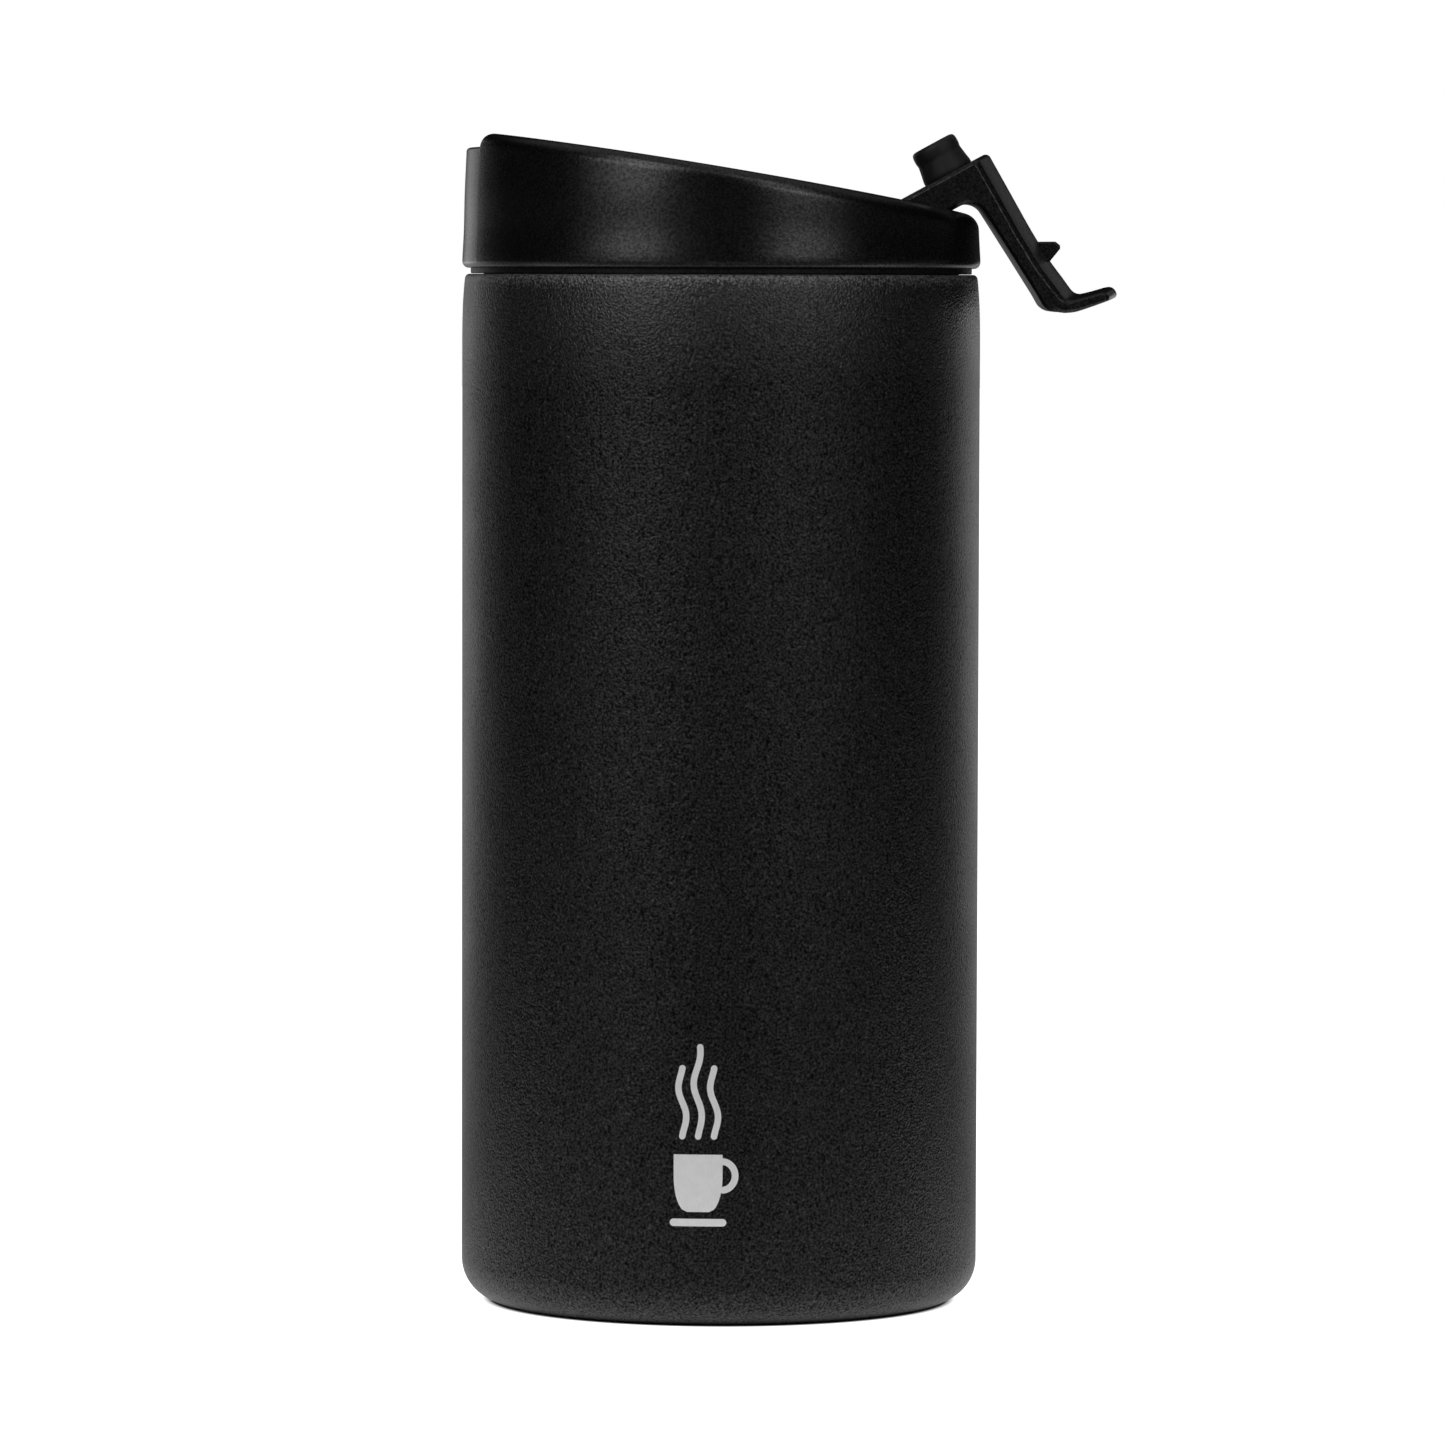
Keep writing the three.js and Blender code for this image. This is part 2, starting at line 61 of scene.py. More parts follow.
CUP_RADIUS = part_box("outer_shell")[1].x / MM
CUP_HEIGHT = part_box("outer_shell")[1].z / MM
CUP_FOOT_RADIUS = 34.93
CUP_CORNER = 5.6
SHELL_WALL = 0.6
CURL_HEIGHT = 12.0  # the wall curls in over this height below the lip
CURL_DRAWN = 11.4  # and this much of it is drawn before the lip's round takes over
CURL_IN = 0.36
CURL_POWER = 3.6
LIP_ROUND = 0.65
LIP_CENTRE = CUP_RADIUS - CURL_IN - LIP_ROUND - 0.01
LIP_INNER = 33.8
LIP_PAINTED_HIGHLIGHT = (136.6, 139.1)  # heights between which a painted highlight makes the coat paler
LIP_GLOSS = (124.0, 138.0)  # and glossier
FOOT_INNER = 27.5
FOOT_CHAMFER = 0.35
FOOT_FLANGE = 2.6

LINER_WALL = 0.5
MOUTH_RADIUS = 32.45
CHAMBER_RADIUS = 30.8
CHAMBER_FLOOR = 9.0
CHAMBER_CORNER = 5.5
SHOULDER_Z = 126.8
FLOOR_RING_RADIUS = 11.0  # pressed ring in the liner's floor
FLOOR_RING_HEIGHT = 0.6
FLOOR_RING_WIDTH = 3.2

MARK_X = -1.66
MARK_OUTSIDE = 0.015  # the mark's two faces, from CUP_RADIUS
MARK_INSIDE = -0.06
STEAM_FROM = 25.6
STEAM_SWAY = 0.62

LID_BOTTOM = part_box("lid_shell")[0].z / MM
LID_RADIUS = 35.0
LID_CORNER = 0.9
# (height, millimetres that the wall leans in per millimetre of height)
LID_LEAN = ((141.0, 0.062), (144.0, 0.050), (146.0, 0.018), (148.5, 0.018), (151.0, 0.045), (160.0, 0.045))
LID_INNER = 33.3
RIM_MID_Z = 153.16
RIM_FALL = 0.1642
RIM_DOME = 0.00046
RIM_FILLET = 1.9
BASIN_RADIUS = 30.6
BASIN_DRAFT = 0.041
BASIN_FLOOR = 132.6
BASIN_THICKNESS = 2.2
BASIN_EDGE = 0.5
PLUG_JOINT_Z = 140.0
PLUG_GAP = 0.05
FLANGE_RADIUS = 33.85
SKIRT_RADIUS = 32.0
SKIRT_INNER = 30.0
SKIRT_BOTTOM = 127.2
GROOVE_RADIUS = 31.0
GROOVE_LOW = 129.2
GROOVE_HIGH = 131.8
NOTCH_HALF_WIDTH = 11.8
NOTCH_FLOOR = 155.96
NOTCH_RIM_FILLET = 0.55
NOTCH_LOW_FILLET = 0.3
NOTCH_TOP_FILLET = 0.6
NOTCH_SLANT = 0.015  # its side walls lean out by this much
CATCH_POCKET = ((-33.1, -5.2, 146.6), (-29.0, 5.2, 153.6))
DRINK_X = -23.95
DRINK_HALF_WIDTH = 3.9
DRINK_HALF_STRAIGHT = 3.5
COLLAR_WALL = 1.2
VENT_X = -6.2
VENT_RADIUS = 0.8
VENT_SEAT_RADIUS = 2.6
EAR_RADIUS = 2.8
EAR_HALF_FOOT = 3.4
EAR_Y = 12.375
EAR_HALF_WIDTH = 1.025

HINGE = Vector((5.8, 0.0, 136.0))
OPEN_ANGLE = math.radians(151.4)
PIN_RADIUS = 1.0
PIN_HALF_LENGTH = 13.5
PLUG_BORE_GAP = 0.06
LEVER_BORE_GAP = 0.12
LEVER_HALF_WIDTH = 11.0
LEVER_EDGE = 0.65
SEAT_SIDE_GAP = 0.5
SEAT_GAP = 0.25
ARM_UNDERSIDE = 133.3
ARM_TOP = 137.8
BARREL_RADIUS = 3.0
TAB_SLOPE = 0.1675
TAB_SAG = 0.04
CATCH_HALF_WIDTH = 4.6
POST_RADIUS = 1.3
POST_LENGTH = 6.3
POST_ROOT = 3.2  # length of the post inside the arm
SOCKET_RADIUS = 1.55
SOCKET_DEPTH = 3.6

# A side edge: a bevel, then a round. How far out each step is and how far in it is pulled, as shares of it.
EDGE_SHAPE = ((0.16, 0.015), (0.30, 0.07), (0.42, 0.16), (0.84, 0.58), (0.93, 0.70), (0.985, 0.84),
              (1.0, 1.0))

OPENED = Matrix.Translation(HINGE) @ Matrix.Rotation(OPEN_ANGLE, 4, "Y") @ Matrix.Translation(-HINGE)

# ------------------------------------------------------------------ outlines


def arc(cx, cz, radius, start, end, steps):
    """Points of a circular arc, from one angle to another in degrees."""
    points = []
    for i in range(steps + 1):
        angle = math.radians(start + (end - start) * i / steps)
        points.append((cx + radius * math.cos(angle), cz + radius * math.sin(angle)))
    return points


def rounded(corners, closed=True, steps=5):
    """An outline of corners (x, z) or (x, z, radius), with the ones that have a radius rounded."""
    points = []
    count = len(corners)
    for i, corner in enumerate(corners):
        at_end = not closed and i in (0, count - 1)
        if len(corner) < 3 or at_end:
            points.append(corner[:2])
            continue
        here, radius = Vector(corner[:2]), corner[2]
        back = (Vector(corners[i - 1][:2]) - here).normalized()
        ahead = (Vector(corners[(i + 1) % count][:2]) - here).normalized()
        half = back.angle(ahead) / 2
        centre = here + (back + ahead).normalized() * (radius / math.sin(half))
        first = here + back * (radius / math.tan(half)) - centre
        last = here + ahead * (radius / math.tan(half)) - centre
        start = math.atan2(first.y, first.x)
        turn = math.atan2(last.y, last.x) - start
        turn = (turn + math.pi) % (2 * math.pi) - math.pi
        for k in range(steps + 1):
            angle = start + turn * k / steps
            points.append((centre.x + radius * math.cos(angle), centre.y + radius * math.sin(angle)))
    return points


def inset(loop, distances):
    """A closed outline moved inwards, each point by its own distance."""
    count = len(loop)
    area = sum(loop[i - 1][0] * loop[i][1] - loop[i][0] * loop[i - 1][1] for i in range(count))
    side = 1 if area > 0 else -1
    points = []
    for i in range(count):
        here = Vector(loop[i])
        before = (here - Vector(loop[i - 1])).normalized()
        after = (Vector(loop[(i + 1) % count]) - here).normalized()
        n1 = Vector((-before.y, before.x))
        n2 = Vector((-after.y, after.x))
        mitre = (n1 + n2) / max(0.5, 1 + n1.dot(n2))
        points.append(tuple(here + mitre * (side * distances[i])))
    return points


def track(half_width, half_straight, z, centre_x=0.0):
    """A level loop with straight sides along Y and round ends."""
    loop = []
    for i in range(SMALL_STEPS):
        angle = 2 * math.pi * (i + 0.5) / SMALL_STEPS
        shift = math.copysign(half_straight, math.sin(angle))
        loop.append((centre_x + half_width * math.cos(angle), half_width * math.sin(angle) + shift, z))
    return loop


# ------------------------------------------------------------------ meshes


def make(name, points, faces):
    """A mesh object of a closed surface, with its faces turned outwards."""
    mesh = bpy.data.meshes.new(name)
    mesh.from_pydata(points, [], faces)
    shape = bmesh.new()
    shape.from_mesh(mesh)
    bmesh.ops.remove_doubles(shape, verts=shape.verts, dist=1e-4)
    bmesh.ops.recalc_face_normals(shape, faces=shape.faces)
    shape.to_mesh(mesh)
    shape.free()
    piece = bpy.data.objects.new(name, mesh)
    bpy.context.scene.collection.objects.link(piece)
    return piece


def loft(name, rows, ring=False):
    """A surface through rows of points, each a closed loop. The rows form a ring, or have capped ends."""
    width = len(rows[0])
    points = [p for row in rows for p in row]
    faces = []
    for i in range(len(rows) - (0 if ring else 1)):
        a, b = i * width, ((i + 1) % len(rows)) * width
        for j in range(width):
            k = (j + 1) % width
            faces.append((a + j, a + k, b + k, b + j))
    if not ring:
        faces.append(tuple(range(width)))
        faces.append(tuple(range(len(points) - width, len(points))))
    return make(name, points, faces)


def turned(name, profile, steps=ROUND_STEPS, centre_x=0.0):
    """A radius-height profile turned round a vertical axis. Points on the axis are merged."""
    rows = []
    for i in range(steps):
        angle = 2 * math.pi * i / steps
        rows.append([(centre_x + r * math.cos(angle), r * math.sin(angle), z) for r, z in profile])
    return loft(name, rows, ring=True)


def across(name, outline_at, half_width, edge, spacing=1.0, shares=None):
    """A body that spans Y from side to side. outline_at(y) is its outline, and its side edges are rounded.

    shares says how much of the rounding each point of the outline gets; without it, each gets all.
    """
    straight = half_width - edge
    count = max(1, round(2 * straight / spacing))
    stations = [(-straight + 2 * straight * i / count, 0.0) for i in range(count + 1)]
    for outwards, inwards in EDGE_SHAPE:
        y, pull = straight + edge * outwards, edge * inwards
        stations = [(-y, pull)] + stations + [(y, pull)]
    rows = []
    for y, pull in stations:
        loop = outline_at(y)
        if pull:
            loop = inset(loop, [pull * share for share in shares or [1.0] * len(loop)])
        rows.append([(x, y, z) for x, z in loop])
    return loft(name, rows)


def box(name, low, high, edge):
    """A block with rounded edges along Y and at its sides."""
    corners = ((low[0], low[2]), (high[0], low[2]), (high[0], high[2]), (low[0], high[2]))
    outline = rounded([(*corner, edge) for corner in corners])
    piece = across(name, lambda y: outline, (high[1] - low[1]) / 2, edge * 0.9)
    return shifted(piece, 0, (low[1] + high[1]) / 2, 0)


def shifted(piece, x, y, z):
    """Moves a piece's mesh."""
    piece.data.transform(Matrix.Translation((x, y, z)))
    return piece


def laid_on_hinge(piece):
    """Lays a piece that was turned round Z along the hinge's axis."""
    piece.data.transform(Matrix.Translation(HINGE) @ Matrix.Rotation(math.pi / 2, 4, "X"))
    return piece


def hinge_bore(gap):
    """A cutter for the bore that the pin runs in."""
    radius, half = PIN_RADIUS + gap, 20
    return laid_on_hinge(turned("bore", [(0, -half), (radius, -half), (radius, half), (0, half)], BORE_STEPS))


def combine(piece, tool, operation):
    """Cuts a tool out of a piece, or joins it to the piece, and removes the tool."""
    modifier = piece.modifiers.new("combine", "BOOLEAN")
    modifier.operation = operation
    modifier.solver = "EXACT"
    modifier.object = tool
    bpy.context.view_layer.update()
    graph = bpy.context.evaluated_depsgraph_get()
    result = bpy.data.meshes.new_from_object(piece.evaluated_get(graph))
    piece.modifiers.clear()
    old, piece.data = piece.data, result
    bpy.data.meshes.remove(old)
    bpy.data.objects.remove(tool)
    return piece


def finished(piece, body, node, look, crease=35, opened=False, flat=False):
    """Places a finished piece, shades it, gives it its material and ties it to the frame."""
    if opened:
        piece.data.transform(OPENED)
    piece.data.transform(Matrix.Scale(MM, 4))
    piece.data.shade_smooth()
    piece.data.set_sharp_from_angle(angle=math.radians(crease))
    if flat:
        piece.modifiers.new("flat_faces", "WEIGHTED_NORMAL").keep_sharp = True
    piece.data.materials.clear()
    piece.data.materials.append(look)
    piece.data.name = piece.name
    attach(piece, body)
    if node:
        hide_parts(node)


# ------------------------------------------------------------------ materials


class Look:
    """One procedural material. Its textures use the piece's own coordinates, in millimetres."""

    def __init__(self, name, **sockets):
        self.material = bpy.data.materials.new(name)
        self.material.use_nodes = True
        self.tree = self.material.node_tree
        self.shader = self.tree.nodes["Principled BSDF"]
        for socket, value in sockets.items():
            self.shader.inputs[socket.replace("_", " ").title().replace("Ior", "IOR")].default_value = value
        place = self.add("ShaderNodeTexCoord").outputs["Object"]
        self.place = self.scaled(place, (1 / MM,) * 3)

    def add(self, kind, **settings):
        node = self.tree.nodes.new(kind)
        for key, value in settings.items():
            setattr(node, key, value)
        return node

    def link(self, source, target):
        self.tree.links.new(source, target)

    def drive(self, socket, source):
        self.link(source, self.shader.inputs[socket])

    def scaled(self, source, factors):
        node = self.add("ShaderNodeVectorMath", operation="MULTIPLY")
        self.link(source, node.inputs[0])
        node.inputs[1].default_value = factors
        return node.outputs[0]

    def length(self, source):
        node = self.add("ShaderNodeVectorMath", operation="LENGTH")
        self.link(source, node.inputs[0])
        return node.outputs["Value"]

    def along(self, axis):
        """The place along one axis."""
        node = self.add("ShaderNodeSeparateXYZ")
        self.link(self.place, node.inputs[0])
        return node.outputs[axis]

    def noise(self, size, detail=2.0, roughness=0.5, stretch=(1, 1, 1), distortion=0.0):
        """Noise whose features are about that many millimetres across."""
        node = self.add("ShaderNodeTexNoise")
        place = self.place if stretch == (1, 1, 1) else self.scaled(self.place, stretch)
        self.link(place, node.inputs["Vector"])
        node.inputs["Scale"].default_value = 1 / size
        node.inputs["Detail"].default_value = detail
        node.inputs["Roughness"].default_value = roughness
        node.inputs["Distortion"].default_value = distortion
        return node.outputs["Fac"]

    def cells(self, size, smoothness):
        """Rounded bumps about that many millimetres apart."""
        node = self.add("ShaderNodeTexVoronoi", feature="SMOOTH_F1")
        self.link(self.place, node.inputs["Vector"])
        node.inputs["Scale"].default_value = 1 / size
        node.inputs["Smoothness"].default_value = smoothness
        return node.outputs["Distance"]

    def ranged(self, source, low, high, between=(0.3, 0.7)):
        """A range of the source's values, between, mapped to low..high."""
        node = self.add("ShaderNodeMapRange")
        self.link(source, node.inputs["Value"])
        node.inputs["From Min"].default_value = between[0]
        node.inputs["From Max"].default_value = between[1]
        node.inputs["To Min"].default_value = low
        node.inputs["To Max"].default_value = high
        return node.outputs["Result"]

    def math(self, operation, a, b):
        node = self.add("ShaderNodeMath", operation=operation)
        for value, socket in ((a, node.inputs[0]), (b, node.inputs[1])):
            if isinstance(value, (int, float)):
                socket.default_value = value
            else:
                self.link(value, socket)
        return node.outputs[0]

    def mixed(self, first, share, second):
        """A share of the first source and the rest of the second."""
        return self.math("ADD", self.math("MULTIPLY", first, share), self.math("MULTIPLY", second, 1 - share))

    def coloured(self, source, low, high, between=(0.3, 0.7)):
        """Drives the base colour between two colours."""
        ramp = self.add("ShaderNodeValToRGB")
        ramp.color_ramp.elements[0].position = between[0]
        ramp.color_ramp.elements[0].color = (*low, 1)
        ramp.color_ramp.elements[1].position = between[1]
        ramp.color_ramp.elements[1].color = (*high, 1)
        self.link(source, ramp.inputs["Fac"])
        self.drive("Base Color", ramp.outputs["Color"])
        return ramp

    def rough(self, source, low, high):
        self.drive("Roughness", self.ranged(source, low, high))

    def bumpy(self, *layers):
        """Bump of several layers: (source, height of its whole range in millimetres)."""
        normal = None
        for source, height in layers:
            node = self.add("ShaderNodeBump")
            node.inputs["Distance"].default_value = height * MM
            self.link(source, node.inputs["Height"])
            if normal:
                self.link(normal, node.inputs["Normal"])
            normal = node.outputs["Normal"]
        self.drive("Normal", normal)


def grey(value, tint=0.0):
    """A near-neutral grey, slightly blue for a tint above 0 and slightly brown below."""
    return (value * (1 - tint), value, value * (1 + tint))


def powder_coat():
    """Fine-grained black coat, glossier towards the cup's lip, where a painted highlight also makes it paler.
    """
    look = Look("powder_coat_black", specular_ior_level=0.5)
    grain = look.noise(0.32, detail=2.0, roughness=0.45)
    peel = look.cells(0.85, smoothness=0.9)
    cloud = look.noise(9.0, detail=3.0)
    height = look.along("Z")
    # Painted highlight: the coat's colour gets paler over the lip's top few millimetres.
    painted_lip_highlight = look.ranged(height, 0.0, 0.38, LIP_PAINTED_HIGHLIGHT)
    gloss = look.ranged(height, 0.0, 0.40, LIP_GLOSS)
    speck = look.mixed(grain, 0.95, cloud)
    ramp = look.coloured(look.math("ADD", speck, painted_lip_highlight), grey(0.0005), grey(0.0085), (0.34, 0.66))
    # Only the painted lip highlight reaches this palest grey of the ramp.
    ramp.color_ramp.elements.new(1.0).color = (*grey(0.16), 1)
    look.rough(look.mixed(grain, 0.5, cloud), 0.32, 0.42)
    shine = look.ranged(grain, 0.06, 0.60, (0.32, 0.68))
    look.drive("Specular IOR Level", look.math("ADD", shine, gloss))
    look.bumpy((peel, 0.02), (grain, 0.14))
    return look.material


def satin_plastic(name, tone, rough, gloss, grain_size, grain_height, grain_share):
    """Moulded plastic: faint flow clouds, and fine texture that speckles the shine by its grain_share."""
    look = Look(name)
    flow = look.noise(14.0, detail=3.0, stretch=(1, 1, 0.45), distortion=0.8)
    fine = look.noise(grain_size, detail=2.0)
    look.coloured(look.mixed(flow, 0.4, fine), grey(tone * 0.6), grey(tone * 1.4))
    look.rough(look.mixed(flow, 0.6, fine), rough - 0.02, rough + 0.03)
    shine = look.ranged(fine, gloss * (1 - grain_share), gloss * (1 + grain_share), (0.36, 0.64))
    look.drive("Specular IOR Level", shine)
    look.bumpy((flow, 0.02), (fine, grain_height))
    return look.material


def silicone():
    look = Look("silicone_black", specular_ior_level=0.35, sheen_weight=0.06, sheen_roughness=0.4)
    fine = look.noise(0.12, detail=2.0)
    dust = look.noise(1.6, detail=5.0, roughness=0.65)
    look.coloured(dust, grey(0.005), grey(0.014), (0.4, 0.75))
    look.rough(dust, 0.50, 0.66)
    look.bumpy((fine, 0.012), (look.noise(2.5), 0.03))
    return look.material


def steel(name, tone, rough, streak, tint=0.01):
    """Stainless steel with fine streaks; streak is the stretch of the noise along each axis."""
    look = Look(name, metallic=1.0)
    lines = look.noise(0.5, detail=3.0, roughness=0.6, stretch=streak)
    stain = look.noise(8.0, detail=4.0)
    look.coloured(look.mixed(lines, 0.5, stain), grey(tone * 0.86, tint), grey(tone, tint))
    look.rough(lines, rough - 0.06, rough + 0.08)
    look.bumpy((lines, 0.006))
    return look.material


def foil():
    look = Look("foil_copper", metallic=1.0)
    crease = look.cells(5.0, smoothness=0.2)
    fine = look.noise(1.2, detail=4.0)
    look.coloured(fine, (0.55, 0.36, 0.25), (0.68, 0.47, 0.34))
    look.rough(fine, 0.18, 0.32)
    look.bumpy((crease, 0.25), (fine, 0.05))
    return look.material


def etched():
    """The mark: coating burnt off by a laser down to pale, matt metal."""
    look = Look("etched_mark", specular_ior_level=1.0)
    lines = look.noise(0.16, detail=2.0, stretch=(1, 1, 0.2))
    cloud = look.noise(1.5, detail=3.0)
    look.coloured(look.mixed(lines, 0.5, cloud), grey(0.86), grey(0.95), (0.35, 0.65))
    look.rough(lines, 0.45, 0.6)
    look.bumpy((lines, 0.008))
    return look.material


POWDER = powder_coat()
LID_PLASTIC = satin_plastic("lid_plastic_black", tone=0.0030, rough=0.27, gloss=0.5,
                            grain_size=0.34, grain_height=0.010, grain_share=0.4)
PLUG_PLASTIC = satin_plastic("plug_plastic_black", tone=0.006, rough=0.48, gloss=0.18,
                             grain_size=0.34, grain_height=0.010, grain_share=0.4)
LEVER_PLASTIC = satin_plastic("lever_plastic_black", tone=0.0035, rough=0.34, gloss=0.36,
                              grain_size=0.30, grain_height=0.030, grain_share=0.55)
BASE_PLASTIC = satin_plastic("base_plastic_black", tone=0.014, rough=0.52, gloss=0.4,
                             grain_size=0.22, grain_height=0.030, grain_share=0.3)
SILICONE = silicone()
LINER_STEEL = steel("liner_steel_brushed", 0.62, 0.24, (0.08, 0.08, 3.0))
RAW_STEEL = steel("raw_steel_pressed", 0.46, 0.36, (1.5, 0.3, 1.5))
PIN_STEEL = steel("pin_steel_drawn", 0.60, 0.20, (3.0, 0.1, 3.0))
SOLDER = steel("seal_metal_dull", 0.42, 0.42, (1, 1, 1), -0.02)
FOIL = foil()
ETCHED = etched()

# ------------------------------------------------------------------ cup


def outer_shell():
    """Drawn steel wall: turned-in foot, rounded corner, and a straight wall that curls in below the lip."""
    corner = CUP_FOOT_RADIUS - CUP_CORNER
    inside = CUP_RADIUS - SHELL_WALL
    curl_from = CUP_HEIGHT - CURL_HEIGHT
    wall_steps, curl_steps = 24, 20
    wall = []
    for i in range(1, wall_steps + 1):
        z = CUP_CORNER + (curl_from - CUP_CORNER) * i / wall_steps
        wall.append((CUP_FOOT_RADIUS + (CUP_RADIUS - CUP_FOOT_RADIUS) * z / CUP_HEIGHT, z))
    curl = []
    for i in range(1, curl_steps + 1):
        share = i / curl_steps
        curl.append((CUP_RADIUS - CURL_IN * share ** CURL_POWER, curl_from + CURL_DRAWN * share))
    lip = arc(LIP_CENTRE, CUP_HEIGHT - LIP_ROUND, LIP_ROUND, 7, 90, 10)
    profile = [
        (FOOT_INNER + FOOT_CHAMFER, 0.0),
        *arc(corner, CUP_CORNER, CUP_CORNER, -90, 0, 28),
        *wall,
        *curl,
        *lip[1:],
        (LIP_INNER, CUP_HEIGHT),
        (LIP_INNER, CUP_HEIGHT - SHELL_WALL),
        (inside - 0.3, CUP_HEIGHT - SHELL_WALL - 0.3),
        (inside, curl_from),
        *arc(corner, CUP_CORNER, CUP_CORNER - SHELL_WALL, 0, -90, 12),
        (FOOT_INNER + SHELL_WALL, SHELL_WALL),
        (FOOT_INNER + SHELL_WALL, FOOT_FLANGE),
        (FOOT_INNER, FOOT_FLANGE),
        (FOOT_INNER, FOOT_CHAMFER),
    ]
    return turned("outer_shell_coated", profile)


def inner_liner():
    """Steel inner cup: ringed floor, straight chamber, shoulder and a wider mouth with a rounded edge."""
    corner_x, corner_z = CHAMBER_RADIUS - CHAMBER_CORNER, CHAMBER_FLOOR + CHAMBER_CORNER
    outer_mouth = MOUTH_RADIUS + LINER_WALL
    edge = 0.45  # round of the mouth's inner edge
    floor_line = []
    for r in (20, 18, 16, 14, 12.5, 11, 9.5, 8, 6, 4, 2):
        ring = math.exp(-((r - FLOOR_RING_RADIUS) / FLOOR_RING_WIDTH) ** 2)
        floor_line.append((r, CHAMBER_FLOOR + FLOOR_RING_HEIGHT * ring))
    profile = [
        (0, CHAMBER_FLOOR - LINER_WALL),
        *arc(corner_x, corner_z, CHAMBER_CORNER + LINER_WALL, -90, 0, 12),
        (CHAMBER_RADIUS + LINER_WALL, SHOULDER_Z - 1.85),
        (outer_mouth, SHOULDER_Z - 0.2),
        (outer_mouth, CUP_HEIGHT - 0.7),
        (LIP_INNER - 0.1, CUP_HEIGHT - 0.7),
        (LIP_INNER - 0.1, CUP_HEIGHT - 0.12),
        (LIP_INNER - 0.2, CUP_HEIGHT),
        *arc(MOUTH_RADIUS + edge, CUP_HEIGHT - edge, edge, 90, 180, 6),
        *rounded([(MOUTH_RADIUS, CUP_HEIGHT - 0.5), (MOUTH_RADIUS, SHOULDER_Z, 0.8),
                  (CHAMBER_RADIUS, SHOULDER_Z - 1.65, 0.8), (CHAMBER_RADIUS, corner_z + 1)], closed=False),
        *arc(corner_x, corner_z, CHAMBER_CORNER, 0, -90, 12),
        *floor_line,
        (0, CHAMBER_FLOOR),
    ]
    return turned("inner_liner_steel", profile, HIDDEN_STEPS)


def base_cap():
    """Plate in the foot: rounded edge, shallow recess and a moulded ring."""
    edge, recess, ring, top = FOOT_INNER - 0.6, 0.35, 0.15, 1.0
    profile = rounded([
        (0, recess), (12.0, recess, 0.2), (12.3, ring, 0.15), (13.2, ring, 0.15), (13.5, recess, 0.2),
        (21.6, recess, 0.3), (22.2, 0.0, 0.3), (edge, 0.0, 0.45), (edge, top, 0.1), (0, top),
    ], closed=False)
    return turned("base_cap_plate", profile, HIDDEN_STEPS)


def mark_strip(name, left, right):
    """A thin solid on the cup's wall, between two lines of points (distance round the wall, height)."""
    columns = 6

    def wrapped(line, offset):
        radius = CUP_RADIUS + offset
        points = []
        for u, z in line:
            angle = (MARK_X + u) / CUP_RADIUS
            points.append((radius * math.sin(angle), -radius * math.cos(angle), z))
        return points

    rows = []
    for a, b in zip(left, right):
        line = [(a[0] + (b[0] - a[0]) * k / columns, a[1] + (b[1] - a[1]) * k / columns)
                for k in range(columns + 1)]
        rows.append(wrapped(line, MARK_OUTSIDE) + wrapped(line[::-1], MARK_INSIDE))
    return loft(name, rows)


def mark_stroke(name, line, width):
    """A strip of even width along a line, with round ends."""
    half, last = width / 2, len(line) - 1
    left, right = [], []
    for i, point in enumerate(line):
        here = Vector(point)
        ahead = (Vector(line[min(last, i + 1)]) - Vector(line[max(0, i - 1)])).normalized()
        side = Vector((-ahead.y, ahead.x)) * half
        pairs = [(here + side, here - side)]
        if i in (0, last):
            outward = ahead * (half if i else -half)
            end = []
            for degrees in range(15, 91, 15):
                tip = here + outward * math.sin(math.radians(degrees))
                narrowed = side * max(math.cos(math.radians(degrees)), 0.06)
                end.append((tip + narrowed, tip - narrowed))
            pairs = pairs + end if i else end[::-1] + pairs
        left += [tuple(a) for a, b in pairs]
        right += [tuple(b) for a, b in pairs]
    return mark_strip(name, left, right)


def mark_cup():
    """The pictogram's cup: straight sides and a rounded bottom."""
    centre, top, bottom, rows = -1.1, 23.2, 15.6, 24
    narrow, bulge, round_share = 1.45, 1.7875, 0.62
    left, right = [], []
    for i in range(rows + 1):
        z = bottom + (top - bottom) * i / rows
        half = narrow + bulge * math.sqrt(1 - (1 - min(1.0, i / rows / round_share)) ** 2)
        left.append((centre - half, z))
        right.append((centre + half, z))
    return mark_strip("mark_cup", left, right)


def mark_steam(index, u, high, turns):
    """A rising wave that sways most half way up."""
    steps = 32
    wave = []
    for i in range(steps + 1):
        t = i / steps
        sway = STEAM_SWAY * math.sin(2 * math.pi * t * turns) * (0.4 + 0.6 * math.sin(math.pi * t))
        wave.append((u + sway, STEAM_FROM + (high - STEAM_FROM) * t))
    return mark_stroke(f"mark_steam_{index}", wave, 0.85)


def cup_mark():
    """A generic pictogram of a steaming cup, as thin layers wrapped round the wall."""
    handle = []
    for a in range(-84, 85, 12):
        handle.append((2.05 + 1.75 * math.cos(math.radians(a)), 20.4 + 1.9 * math.sin(math.radians(a))))
    saucer = [(-4.35 + 6.5 * i / 12, 14.2) for i in range(13)]
    steam = ((-3.2, 34.6, 1.0), (-1.1, 37.4, 1.25), (1.0, 34.6, 1.0))
    return [mark_cup(), mark_stroke("mark_handle", handle, 0.9), mark_stroke("mark_saucer", saucer, 1.0),
            *[mark_steam(index, *wave) for index, wave in enumerate(steam)]]


finished(outer_shell(), "cup", "outer_shell", POWDER)
finished(inner_liner(), "cup", "inner_liner", LINER_STEEL)
finished(base_cap(), "cup", "base_cap", BASE_PLASTIC)
for mark in cup_mark():
    finished(mark, "cup", None, ETCHED)

# ------------------------------------------------------------------ lid


def rim_height(x):
    return RIM_MID_Z - RIM_FALL * x - RIM_DOME * x * x


